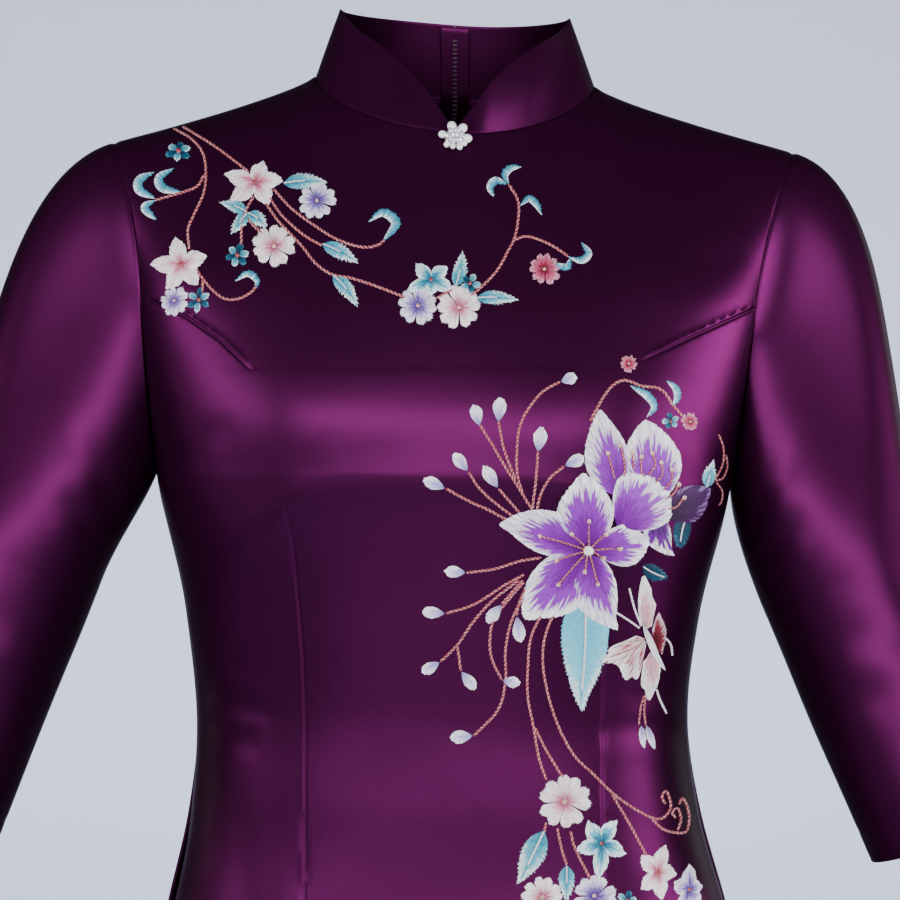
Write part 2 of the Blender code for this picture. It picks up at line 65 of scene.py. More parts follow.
def hermite(start: Any, start_tangent: Any, end: Any, end_tangent: Any, share: float) -> Any:
    """A cubic from start to end that leaves and arrives along the two tangents.

    Args:
        start: Number or vector at the start.
        start_tangent: How it leaves.
        end: Number or vector at the end.
        end_tangent: How it arrives.
        share: Way along, from 0 to 1.

    Returns:
        The number or vector at that share.
    """
    square, cube = share * share, share * share * share
    return (
        start * (2 * cube - 3 * square + 1)
        + start_tangent * (cube - 2 * square + share)
        + end * (3 * square - 2 * cube)
        + end_tangent * (cube - square)
    )


def smooth_step(value: float) -> float:
    """Ease a value from 0 to 1, flat outside them."""
    value = min(max(value, 0.0), 1.0)
    return value * value * (3 - 2 * value)


def bell(distance: float, width: float) -> float:
    """A soft bump of height 1 at no distance."""
    return math.exp(-((distance / width) ** 2))


def spaced(share: float, stops: Sequence[Place]) -> float:
    """Read a straight-line curve through its stops.

    Args:
        share: Where to read it.
        stops: Pairs of share and value, lowest share first.

    Returns:
        The value there.
    """
    for (low, low_value), (high, high_value) in zip(stops, stops[1:]):
        if share <= high:
            return low_value + (high_value - low_value) * (share - low) / (high - low)
    return stops[-1][1]


# ---------------------------------------------------------------- the dress's form


@dataclass(frozen=True)
class Level:
    """The body's half width, its reach to the front and back, and its lean to the right at one height."""

    height: float
    half_width: float
    front: float
    back: float
    sway: float


LEVELS = (
    Level(-1.040, 0.1500, 0.0980, 0.1000, 0.0000),
    Level(-0.900, 0.1560, 0.1010, 0.1060, 0.0000),
    Level(-0.740, 0.1670, 0.1080, 0.1170, 0.0000),
    Level(-0.572, 0.1735, 0.1140, 0.1230, 0.0027),
    Level(-0.458, 0.1560, 0.1120, 0.1120, 0.0045),
    Level(-0.407, 0.1434, 0.1085, 0.1010, 0.0059),
    Level(-0.357, 0.1374, 0.1055, 0.0940, 0.0070),
    Level(-0.297, 0.1434, 0.1130, 0.0960, 0.0067),
    Level(-0.222, 0.1605, 0.1265, 0.1040, 0.0062),
    Level(-0.187, 0.1640, 0.1285, 0.1060, 0.0054),
    Level(-0.137, 0.1640, 0.1160, 0.1050, 0.0040),
    Level(-0.082, 0.1640, 0.0895, 0.0940, 0.0024),
    Level(-0.032, 0.1640, 0.0640, 0.0740, 0.0006),
    Level(-0.005, 0.1640, 0.0640, 0.0600, 0.0000),
)
HEIGHTS = [level.height for level in LEVELS]


class Column:
    """One measure of the body at every height, on a smooth curve through its levels."""

    def __init__(self, name: str) -> None:
        """Read the measure's values and work out the curve's slopes.

        Args:
            name: The measure's field in Level.
        """
        self.values = [getattr(level, name) for level in LEVELS]
        last = len(LEVELS) - 1
        self.slopes = [self.rate(0, 1)]
        for k in range(1, last):
            before, after = HEIGHTS[k] - HEIGHTS[k - 1], HEIGHTS[k + 1] - HEIGHTS[k]
            mean = (self.rate(k - 1, k) * after + self.rate(k, k + 1) * before) / (before + after)
            self.slopes.append(mean)
        self.slopes.append(self.rate(last - 1, last))

    def rate(self, low: int, high: int) -> float:
        """The slope between two levels."""
        return (self.values[high] - self.values[low]) / (HEIGHTS[high] - HEIGHTS[low])

    def at(self, height: float) -> float:
        """The measure at a height.

        Args:
            height: Where it is read.

        Returns:
            The measure.
        """
        height = min(max(height, HEIGHTS[0]), HEIGHTS[-1])
        row = min(bisect_right(HEIGHTS, height), len(LEVELS) - 1) - 1
        gap = HEIGHTS[row + 1] - HEIGHTS[row]
        share = (height - HEIGHTS[row]) / gap
        low, high = self.slopes[row] * gap, self.slopes[row + 1] * gap
        return hermite(self.values[row], low, self.values[row + 1], high, share)


HALF_WIDTH, SWAY = Column("half_width"), Column("sway")


@dataclass(frozen=True)
class Half:
    """What differs between the front and the back of the body."""

    way: int
    reach: Column
    neck_reach: float
    neck_drop: float
    armhole_reach: float
    fullness: float
    neck_tangent: Place


FRONT = Half(-1, Column("front"), 0.064, 0.032, 0.045, 2.30, (0.046, 0.082))
BACK = Half(1, Column("back"), 0.060, 0.005, 0.050, 2.15, (0.050, 0.085))


@dataclass(frozen=True)
class Arm:
    """How one sleeve hangs: its side, its angle, the angle it leaves the underarm at, and its inset."""

    side: str
    angle: float
    leave: float
    inset: float


LEFT_ARM = Arm("left", math.radians(20), math.radians(-3), 0.0095)
RIGHT_ARM = Arm("right", math.radians(20), math.radians(20), -0.0060)


@dataclass(frozen=True)
class DressForm:
    """The surfaces that the cloth lies on, the same as the solids' outer faces."""

    seam: float = 0.0001
    step: float = 0.001
    neck_half: float = 0.078
    neck_bend: float = 1.3
    shoulder_half: float = 0.190
    shoulder_drop: float = 0.0370
    shoulder_bend: float = 0.8
    underarm: float = -0.222
    armhole_middle: float = 0.5
    armhole_rise: float = 0.100
    armhole_out: float = 0.0095
    arm_forward: float = 0.45
    sleeve_blend: float = 0.070
    blend_share: float = 0.5
    cap_fullness: float = 0.8
    sleeve_length: float = 0.226
    sleeve_top: Place = (0.0525, 0.0560)
    sleeve_cuff: Place = (0.0445, 0.0475)
    slit_top: float = -0.780
    slit_gap: float = 0.012
    tilt: float = 0.0030
    tilt_reach: float = 0.040
    tilt_low: float = -0.360
    tilt_full: float = -0.240
    collar_half: float = 0.0645
    collar_front: float = 0.047
    collar_back: float = 0.049
    collar_side_top: float = 0.038
    collar_front_top: float = 0.008
    collar_back_top: float = 0.036
    notch_angle: float = math.radians(60)
    notch_power: float = 3.1
    notch_least: float = 0.10
    upper_share: float = 1 / 3
    neck_share: float = 8 / 14
    cup_side: float = 0.080
    cup_height: float = -0.192
    cup_out: float = 0.005
    cup_wide: float = 0.050
    cup_tall: float = 0.048

    def posed(self, point: Vector) -> Vector:
        """Move a point as the worn dress leans and tilts at its height."""
        weight = smooth_step((point.z - self.tilt_low) / (self.tilt_full - self.tilt_low))
        tilt = self.tilt * weight * point.x / math.hypot(point.x, self.tilt_reach)
        return point - Vector((SWAY.at(point.z), 0, tilt))

    def ring(self, half: Half, height: float, side: Vector, across: float) -> Vector:
        """A point on the body's round section.

        Args:
            half: Front or back.
            height: Height at the centre.
            side: The section's outer end.
            across: 0 at the centre and 1 at the outer end.

        Returns:
            The point.
        """
        depth = half.reach.at(height)
        power = 2 / half.fullness
        last = math.acos(min(abs(side.y) / depth, 1) ** (1 / power))
        width = side.x / math.sin(last) ** power
        angle = last * across
        return Vector((
            width * math.sin(angle) ** power,
            half.way * depth * max(math.cos(angle), 0) ** power,
            height + (side.z - height) * across**2,
        ))

    def armhole_side(self, half: Half, up: float) -> Vector:
        """The armhole's lower half, from the underarm to where it reaches furthest out.

        Args:
            half: Front or back.
            up: 0 at the underarm and 0.5 where it reaches furthest out.

        Returns:
            The point.
        """
        turn = math.pi / 2 * up / self.armhole_middle
        out = 1 - math.cos(turn)
        return Vector((
            HALF_WIDTH.at(self.underarm) + self.armhole_out * out,
            half.way * half.armhole_reach * math.sin(turn),
            self.underarm + self.armhole_rise * out,
        ))

    def neck_point(self, half: Half, angle: float) -> Vector:
        """The neck hole's edge.

        Args:
            half: Front or back.
            angle: 0 at the centre and a right angle at the shoulder seam.

        Returns:
            The point.
        """
        return Vector((
            self.neck_half * math.sin(angle),
            half.way * half.neck_reach * math.cos(angle),
            -half.neck_drop * max(math.cos(angle), 0) ** self.neck_bend,
        ))

    def top_edge(self, half: Half, across: float) -> tuple[Vector, Vector]:
        """A panel's top edge on the neck hole and shoulder seam.

        Args:
            half: Front or back.
            across: 0 at the centre and 1 at the shoulder tip.

        Returns:
            The point, and the way the panel arrives there.
        """
        inner, outer = half.neck_tangent
        side_tangent, tip_tangent = Vector((-0.016, 0.078, 0.004)), Vector((0.004, 0.090, 0.004))
        if across <= self.neck_share:
            share = across / self.neck_share
            point = self.neck_point(half, share * math.pi / 2)
            tangent = Vector((0, inner, outer)).lerp(side_tangent, share * share)
        else:
            out = (across - self.neck_share) / (1 - self.neck_share)
            reach = self.neck_half + (self.shoulder_half - self.neck_half) * out
            point = Vector((reach, 0, -self.shoulder_drop * out**self.shoulder_bend))
            tangent = side_tangent.lerp(tip_tangent, min(2 * out, 1))
        return point, Vector((tangent.x, -half.way * tangent.y, tangent.z))

    def section(self, half: Half, across: float, up: float) -> Vector:
        """A point of the body between the underarm and the armholes' middle."""
        height = self.underarm + (-half.neck_drop - self.underarm) * up
        return self.ring(half, height, self.armhole_side(half, up), across)

    def upper_body(self, half: Half, across: float, up: float) -> Vector:
        """The body over the underarm.

        Args:
            half: Front or back.
            across: 0 at the centre and 1 at the armhole.
            up: 0 at the underarm and 1 at the neck hole and shoulder seam.

        Returns:
            The point.
        """
        middle = self.armhole_middle
        if up <= middle:
            return self.section(half, across, up)
        start = self.section(half, across, middle)
        leave = (start - self.section(half, across, middle - self.step)) * ((1 - middle) / self.step)
        end, arrive = self.top_edge(half, across)
        return hermite(start, leave, end, arrive, (up - middle) / (1 - middle))

    def body(self, half: Half, across: float, along: float) -> Vector:
        """A point on the body.

        Args:
            half: Front or back.
            across: -1 to 1 from side to side.
            along: 0 at the hem and 1 at the top.

        Returns:
            The point.
        """
        lower_share = 1 - self.upper_share
        if along <= lower_share:
            height = HEIGHTS[0] + (self.underarm - HEIGHTS[0]) * along / lower_share
            side = Vector((HALF_WIDTH.at(height), 0, height))
            point = self.ring(half, height, side, abs(across))
        else:
            point = self.upper_body(half, abs(across), (along - lower_share) / self.upper_share)
        if half is FRONT:
            aside = (abs(point.x) - self.cup_side) / self.cup_wide
            over = (point.z - self.cup_height) / self.cup_tall
            point.y -= self.cup_out * math.exp(-aside * aside - over * over) * (1 - abs(across) ** 4)
        point.x = math.copysign(point.x, across) if across else 0.0
        return point

    def armhole(self, angle: float) -> Vector:
        """The armhole on the left: its underarm, its front, the tip and its back."""
        angle %= 2 * math.pi
        half = FRONT if angle <= math.pi else BACK
        return self.upper_body(half, 1.0, min(angle, 2 * math.pi - angle) / math.pi)

    @staticmethod
    def down_at(angle: float) -> Vector:
        """The way down and outward at an angle."""
        return Vector((math.sin(angle), 0, -math.cos(angle)))

    def sleeve_ring(self, arm: Arm, angle: float, down: float) -> Vector:
        """The sleeve's round section.

        Args:
            arm: Which sleeve.
            angle: Where on the section.
            down: Distance below the underarm, along the arm.

        Returns:
            The point.
        """
        out = self.down_at(arm.angle + math.pi / 2)
        share = down / self.sleeve_length
        half_width, half_depth = (
            top + (cuff - top) * share for top, cuff in zip(self.sleeve_top, self.sleeve_cuff)
        )
        middle = self.armhole(0) + self.down_at(arm.angle) * down + out * (self.sleeve_top[0] - arm.inset)
        middle.y -= self.arm_forward * down**2
        return middle - out * half_width * math.cos(angle) - Vector((0, half_depth * math.sin(angle), 0))

    def sleeve(self, arm: Arm, around: float, along: float) -> Vector:
        """A point on a sleeve, on the left side.

        Args:
            arm: Which sleeve.
            around: 0 to 1 from the underarm over the front.
            along: 0 at the armhole and 1 at the cuff.

        Returns:
            The point.
        """
        angle = 2 * math.pi * around
        if along >= self.blend_share:
            share = (along - self.blend_share) / (1 - self.blend_share)
            down = self.sleeve_blend + (self.sleeve_length - self.sleeve_blend) * share
            return self.sleeve_ring(arm, angle, down)
        start, end = self.armhole(angle), self.sleeve_ring(arm, angle, self.sleeve_blend)
        half = FRONT if around <= 0.5 else BACK
        up = min(around, 1 - around) * 2
        inside = self.upper_body(half, 1.0 - self.step, up)
        outward = (self.upper_body(half, 1.0, up) - inside).normalized()
        leave = self.down_at(arm.leave).lerp(outward, ((1 - math.cos(angle)) / 2) ** 2).normalized()
        length = (end - start).length
        down = self.down_at(arm.angle) * length
        return hermite(start, leave * length * self.cap_fullness, end, down, along / self.blend_share)

    def collar(self, around: float, up: float) -> Vector:
        """A point on the left half of the collar.

        Args:
            around: 0 at centre front and 1 at centre back.
            up: 0 at its seam and 1 at its free edge.

        Returns:
            The point.
        """
        angle = math.pi * around
        half = FRONT if angle <= math.pi / 2 else BACK
        turn = min(angle, math.pi - angle)
        base = self.neck_point(half, turn)
        reach = self.collar_front if half is FRONT else self.collar_back
        centre_top = self.collar_front_top if half is FRONT else self.collar_back_top
        bend = max(math.cos(turn), 0) ** self.neck_bend
        top = Vector((
            self.collar_half * math.sin(turn),
            half.way * reach * math.cos(turn),
            self.collar_side_top + (centre_top - self.collar_side_top) * bend,
        ))
        rise = 1 - (1 - min(angle / self.notch_angle, 1)) ** self.notch_power
        return base.lerp(top, up * max(rise, self.notch_least))

    def slit_back(self, height: float) -> float:
        """How far a panel's side edge stands back from the side seam's line at a height."""
        below = max(self.slit_top - height, 0) / (self.slit_top - HEIGHTS[0])
        return self.seam / 2 + self.slit_gap / 2 * below**1.5


FORM = DressForm()


# ---------------------------------------------------------------- materials


@dataclass(frozen=True)
class Value:
    """A number that varies over a surface, with Python's operators."""

    shader: "Shader"
    socket: Any

    def math(self, operation: str, *others: Any) -> "Value":
        """Add a Math node of these values, where an Ellipsis stands for this one."""
        given = [self if other is ... else other for other in others]
        node = self.shader.node("ShaderNodeMath", {"operation": operation}, dict(enumerate(given)))
        return Value(self.shader, node.outputs[0])

    def __add__(self, other: Any) -> "Value":
        """Sum."""
        return self.math("ADD", ..., other)

    def __sub__(self, other: Any) -> "Value":
        """Difference."""
        return self.math("SUBTRACT", ..., other)

    def __rsub__(self, other: Any) -> "Value":
        """Reflected difference."""
        return self.math("SUBTRACT", other, ...)

    def __mul__(self, other: Any) -> "Value":
        """Product."""
        return self.math("MULTIPLY", ..., other)

    __radd__, __rmul__ = __add__, __mul__

    def wave(self) -> "Value":
        """The sine of this value."""
        return self.math("SINE", ...)

    def floor(self) -> "Value":
        """The whole number below this value."""
        return self.math("FLOOR", ...)

    def eased(self, low: float, high: float) -> "Value":
        """Ease from 0 at low to 1 at high."""
        settings = {"interpolation_type": "SMOOTHSTEP"}
        node = self.shader.node("ShaderNodeMapRange", settings, {0: self, 1: low, 2: high})
        return Value(self.shader, node.outputs[0])


Colour = tuple[float, float, float]


class Shader:
    """One procedural material while it is made."""

    def __init__(self, name: str) -> None:
        """Start a material with a Principled shader.

        Args:
            name: The material's name.
        """
        self.material = bpy.data.materials.new(name)
        self.material.use_nodes = True
        self.tree = self.material.node_tree
        self.principled = self.tree.nodes["Principled BSDF"]

    def node(self, kind: str, settings: dict[str, Any], inputs: dict[Any, Any]) -> Any:
        """Add a node.

        Args:
            kind: The node's type.
            settings: Its properties, which are set first.
            inputs: Values or links of its sockets, by name or place.

        Returns:
            The node.
        """
        made = self.tree.nodes.new(kind)
        for name, value in settings.items():
            setattr(made, name, value)
        self.fill(made, inputs)
        return made

    def fill(self, made: Any, inputs: dict[Any, Any]) -> None:
        """Set or link a node's sockets.

        Args:
            made: The node.
            inputs: Values or links, by name or place.
        """
        for name, value in inputs.items():
            socket = made.inputs[name]
            if isinstance(value, Value):
                self.tree.links.new(value.socket, socket)
            elif isinstance(value, bpy.types.NodeSocket):
                self.tree.links.new(value, socket)
            elif isinstance(value, tuple) and len(value) == 3 and socket.type == "RGBA":
                socket.default_value = (*value, 1.0)
            else:
                socket.default_value = value

    def mix(self, share: Any, low: Any, high: Any) -> Any:
        """Mix two colours, with a share of the second."""
        return self.node("ShaderNodeMix", {"data_type": "RGBA"}, {0: share, 6: low, 7: high}).outputs[2]

    def place(self, layer: str = "") -> Any:
        """The piece's own coordinates: its UV map of that name, or its Object coordinates."""
        if layer:
            return self.node("ShaderNodeUVMap", {"uv_map": layer}, {}).outputs["UV"]
        return self.node("ShaderNodeTexCoord", {}, {}).outputs["Object"]

    def scaled(self, place: Any, scale: tuple[float, float, float]) -> Any:
        """Stretch coordinates along each axis."""
        return self.node("ShaderNodeMapping", {}, {"Vector": place, "Scale": scale}).outputs[0]

    def grain(self, place: Any, scale: float, detail: float = 2.0) -> Value:
        """A noise from 0 to 1, with that many patches in a metre and layers of finer detail."""
        made = self.node("ShaderNodeTexNoise", {}, {"Vector": place, "Scale": scale, "Detail": detail})
        return Value(self, made.outputs[0])

    def axis(self, place: Any, name: str) -> Value:
        """One of the three coordinates."""
        return Value(self, self.node("ShaderNodeSeparateXYZ", {}, {0: place}).outputs[name])

    def relief(self, height: Value, distance: float) -> Any:
        """Turn a height into a normal, where a height of 1 stands that distance off the surface."""
        return self.node("ShaderNodeBump", {}, {"Height": height, "Distance": distance}).outputs[0]

    def finish(self, inputs: dict[str, Any]) -> Any:
        """Fill the Principled shader's sockets and hand the material over."""
        self.fill(self.principled, inputs)
        return self.material


@dataclass(frozen=True)
class Satin:
    """Woven satin: its shade, its gloss and the grain of its threads."""

    colour: Colour = (0.054, 0.0050, 0.040)
    deep: Colour = (0.040, 0.0034, 0.030)
    edge: Colour = (0.10, 0.02, 0.09)
    metallic: float = 0.82
    roughness: float = 0.355
    grain_scale: float = 1300.0
    grain_height: float = 0.00005

    def material(self, name: str) -> Any:
        """Make the material.

        Args:
            name: Its name.

        Returns:
            The material.
        """
        shader = Shader(name)
        cloth = shader.place("cloth")
        fine = shader.grain(cloth, self.grain_scale)
        weft = shader.grain(shader.scaled(cloth, (0.25, 3.0, 1.0)), self.grain_scale * 0.6)
        wide = shader.grain(cloth, 9.0, 3.0)
        threads = fine * 0.6 + weft * 0.4
        colour = shader.mix((threads * 0.7 + wide * 0.3).eased(0.30, 0.70), self.deep, self.colour)
        return shader.finish({
            "Base Color": colour,
            "Metallic": self.metallic,
            "Roughness": (threads - 0.5) * 0.30 + self.roughness,
            "Normal": shader.relief(threads, self.grain_height),
            "Specular IOR Level": 0.15,
            "Specular Tint": (*self.edge, 1.0),
        })


@dataclass(frozen=True)
class Silk:
    """Embroidery silk: its shades from where the stitches start to where they end."""

    inner: Colour
    middle: Colour
    outer: Colour
    first: float = 0.35
    second: float = 0.70
    spread: float = 0.35
    runs: float = 3.0
    # The satin's dark, used for specks of painted shadow between the stitches.
    gap: Colour = (0.050, 0.010, 0.048)
    blend: float = 0.06

    def material(self, name: str) -> Any:
        """Make the material, whose long and short stitches run from shade to shade, with painted shade on some
        threads and painted shadow specks between the stitches.

        Args:
            name: Its name.

        Returns:
            The material.
        """
        shader = Shader(name)
        stitch = shader.place("stitch")
        thread, along = shader.axis(stitch, "X"), shader.axis(stitch, "Y")
        noise_node = shader.node("ShaderNodeTexWhiteNoise", {"noise_dimensions": "1D"}, {"W": thread.floor()})
        chance = Value(shader, noise_node.outputs[0])
        streak = shader.grain(shader.scaled(stitch, (1.6, self.runs, 1.0)), 1.0, 3.0)
        where = along + (chance - 0.5) * self.spread + (streak - 0.5) * self.spread
        colour = self.inner
        for start, silk in ((self.first, self.middle), (self.second, self.outer)):
            colour = shader.mix(where.eased(start - self.blend, start + self.blend), colour, silk)
        # Some threads darkened at random: partly the silk's uneven tone, partly painted shade between the
        # stitches.
        shade = (chance * 0.5 + streak * 0.5).eased(0.30, 0.75) * 0.42
        colour = shader.mix(shade, colour, tuple(part * 0.5 for part in self.middle))
        # Painted shadow: dark specks at random places, standing in for the shade in the gaps between stitches.
        gap_shadow_speck = shader.grain(shader.place(), 1500.0, 1.0)
        colour = shader.mix(gap_shadow_speck.eased(0.63, 0.70) * 0.62, colour, self.gap)
        return shader.finish({
            "Base Color": colour,
            "Roughness": streak * 0.2 + 0.48,
            "Normal": shader.relief(streak, 0.0002),
            "Specular IOR Level": 0.16,
        })


@dataclass(frozen=True)
class Twist:
    """A stem-stitched line, whose stitches lie over each other like a rope's strands."""

    dark: Colour
    light: Colour
    pitch: float = 0.0024

    def material(self, name: str) -> Any:
        """Make the material.

        Args:
            name: Its name.

        Returns:
            The material.
        """
        shader = Shader(name)
        stitch = shader.place("stitch")
        across, along = shader.axis(stitch, "X"), shader.axis(stitch, "Y")
        strand = ((along * (1 / self.pitch) + across * 0.9) * (2 * math.pi)).wave() * 0.5 + 0.5
        fibre_and_glint = shader.grain(shader.scaled(stitch, (2.0, 760.0, 1.0)), 1.0, 3.0)
        # Lighter on each strand's crest and darker between strands: painted highlight and painted shade on the
        # twist. The pale flecks at random are partly the silk's own fibres and partly painted highlights.
        colour = shader.mix((strand * 0.25 + fibre_and_glint).eased(0.50, 0.95), self.dark, self.light)
        return shader.finish({
            "Base Color": colour,
            "Roughness": 0.66 - fibre_and_glint * 0.2,
            "Normal": shader.relief(strand, 0.00035),
            "Specular IOR Level": 0.3,
            "Sheen Weight": 0.1,
        })


@dataclass(frozen=True)
class Gloss:
    """A hard finish, such as pearl, stone or metal."""

    colour: Colour
    other: Colour
    roughness: float
    metallic: float = 0.0
    coat: float = 0.0
    scale: float = 900.0
    height: float = 0.00001

    def material(self, name: str) -> Any:
        """Make the material.

        Args:
            name: Its name.

        Returns:
            The material.
        """
        shader = Shader(name)
        place = shader.place()
        cloud = shader.grain(place, self.scale, 3.0)
        fine = shader.grain(place, self.scale * 6, 2.0)
        return shader.finish({
            "Base Color": shader.mix(cloud.eased(0.35, 0.65), self.colour, self.other),
            "Metallic": self.metallic,
            "Roughness": (fine - 0.5) * 0.12 + self.roughness,
            "Normal": shader.relief(fine, self.height),
            "Coat Weight": self.coat,
            "Coat Roughness": 0.05,
        })


WHITE = (0.90, 0.88, 0.91)


class Thread(Enum):
    """The silks that the embroidery is worked in."""

    BIG_PETAL = Silk((0.150, 0.0008, 0.260), (0.250, 0.020, 0.430), WHITE, 0.42, 0.76, 0.26, 6.0)
    ROUND_PETAL = Silk((0.180, 0.002, 0.300), (0.270, 0.028, 0.450), WHITE, 0.44, 0.74, 0.28, 6.0)
    DARK_PETAL = Silk((0.018, 0.0004, 0.028), (0.040, 0.0015, 0.062), (0.26, 0.16, 0.38), 0.52, 0.92)
    EDGE_PETAL = Silk((0.050, 0.0006, 0.095), (0.120, 0.006, 0.220), WHITE, 0.50, 0.80)
    PINK_PETAL = Silk((0.56, 0.12, 0.20), (0.78, 0.42, 0.53), (0.90, 0.84, 0.87), 0.22, 0.44, 0.42)
    VIOLET_PETAL = Silk((0.11, 0.045, 0.32), (0.34, 0.26, 0.62), (0.82, 0.79, 0.89), 0.28, 0.56, 0.40)
    ROSE_PETAL = Silk((0.22, 0.008, 0.030), (0.48, 0.080, 0.160), (0.66, 0.32, 0.42), 0.34, 0.76)
    BLUE_PETAL = Silk((0.020, 0.18, 0.28), (0.07, 0.32, 0.44), (0.48, 0.70, 0.76), 0.32, 0.76)
    DEEP_PETAL = Silk((0.003, 0.030, 0.065), (0.007, 0.070, 0.130), (0.05, 0.24, 0.34), 0.42, 0.88)
    STAR_PETAL = Silk((0.012, 0.16, 0.27), (0.11, 0.44, 0.56), (0.76, 0.86, 0.89), 0.34, 0.62, 0.40)
    LEAF = Silk((0.018, 0.20, 0.32), (0.08, 0.40, 0.52), (0.72, 0.85, 0.88), 0.36, 0.72, 0.34)
    BIG_LEAF = Silk((0.095, 0.47, 0.61), (0.14, 0.54, 0.68), (0.72, 0.85, 0.89), 0.48, 0.86, 0.30)
    DARK_LEAF = Silk((0.001, 0.020, 0.045), (0.004, 0.045, 0.085), (0.04, 0.20, 0.29), 0.46, 0.96)
    CRESCENT = Silk((0.70, 0.79, 0.83), (0.12, 0.42, 0.55), (0.03, 0.24, 0.37), 0.28, 0.66)
    BUD = Silk((0.35, 0.31, 0.66), (0.56, 0.53, 0.78), (0.89, 0.87, 0.91), 0.40, 0.64, 0.60)
    WING = Silk((0.80, 0.50, 0.56), (0.70, 0.30, 0.37), (0.91, 0.86, 0.88), 0.30, 0.62, 0.50)
    STREAKED_WING = Silk((0.86, 0.70, 0.73), (0.34, 0.025, 0.050), (0.89, 0.83, 0.84), 0.34, 0.60, 0.62)
    RED_WING = Silk((0.060, 0.001, 0.004), (0.20, 0.008, 0.025), (0.74, 0.54, 0.57), 0.46, 0.80, 0.36)
    WHITE_KNOT = Silk(WHITE, WHITE, WHITE)
    CREAM_KNOT = Silk((0.52, 0.20, 0.15), (0.68, 0.40, 0.32), (0.76, 0.56, 0.48))
    CORAL_KNOT = Silk((0.30, 0.025, 0.035), (0.36, 0.050, 0.060), (0.52, 0.18, 0.17))
    STEM = Twist((0.24, 0.020, 0.036), (0.72, 0.38, 0.37))
    WHITE_LINE = Twist((0.68, 0.60, 0.64), (0.90, 0.87, 0.89))


# ---------------------------------------------------------------- cloth


@dataclass(frozen=True)
class Crease:
    """A fold, dart or pressed line on the cloth: a trough, and a ridge beside it.

    Sizes and places are in millimetres. A trough below 0 is a soft ridge, and the ridge beside a trough
    lies on its left, seen along the line, where its side is 1.
    """

    line: Path
    trough: float
    width: float
    ridge: float = 0.0
    side: int = 1
    sewn: bool = False

    reach = 3.2
    fade = 0.22
    ridge_off = 1.7
    ridge_width = 1.1

    def near(self, x: float, z: float) -> tuple[float, float]:
        """Find the nearest point of the line.

        Args:
            x: Place across.
            z: Place up.

        Returns:
            The signed distance to the line, above 0 on its left, and the share of the line passed.
        """
        best, share = math.inf, 0.0
        count = len(self.line) - 1
        for k, (start, end) in enumerate(zip(self.line, self.line[1:])):
            ax, az = end[0] - start[0], end[1] - start[1]
            length = math.hypot(ax, az)
            on = min(max(((x - start[0]) * ax + (z - start[1]) * az) / (length * length), 0.0), 1.0)
            off_x, off_z = x - start[0] - ax * on, z - start[1] - az * on
            distance = math.hypot(off_x, off_z)
            if distance < abs(best):
                best = math.copysign(distance, ax * off_z - az * off_x)
                share = (k + on) / count
        return best, share

    def close(self, x: float, z: float, reach: float) -> bool:
        """Whether a place lies in the line's box, grown by a reach."""
        across, up = zip(*self.line)
        return min(across) - reach < x < max(across) + reach and min(up) - reach < z < max(up) + reach

    def height(self, x: float, z: float) -> float:
        """How far the cloth stands proud at a place.

        Args:
            x: Place across.
            z: Place up.

        Returns:
            The height, in millimetres.
        """
        if not self.close(x, z, self.reach * self.width):
            return 0.0
        distance, share = self.near(x, z)
        strength = smooth_step((1 - share) / self.fade)
        if not self.sewn:
            strength *= smooth_step(share / self.fade)
        made = -self.trough * bell(distance, self.width)
        if self.ridge:
            off = self.side * self.ridge_off * self.width
            made += self.ridge * bell(distance - off, self.ridge_width * self.width)
        return made * strength


@dataclass(frozen=True)
class Ledge(Crease):
    """A rise that builds up slowly on the line's left and ends sooner on its right."""

    below: float = 8.0
    crest: float = 3.0

    fade = 0.2

    def height(self, x: float, z: float) -> float:
        """How far the cloth stands proud at a place.

        Args:
            x: Place across.
            z: Place up.

        Returns:
            The height, in millimetres.
        """
        if not self.close(x, z, self.reach * max(self.width, self.below)):
            return 0.0
        distance, share = self.near(x, z)
        strength = smooth_step((1 - share) / self.fade) * smooth_step(share / self.fade)
        away = math.hypot(distance, self.crest) - self.crest
        return self.trough * strength * math.exp(-away / (self.width if distance > 0 else self.below))


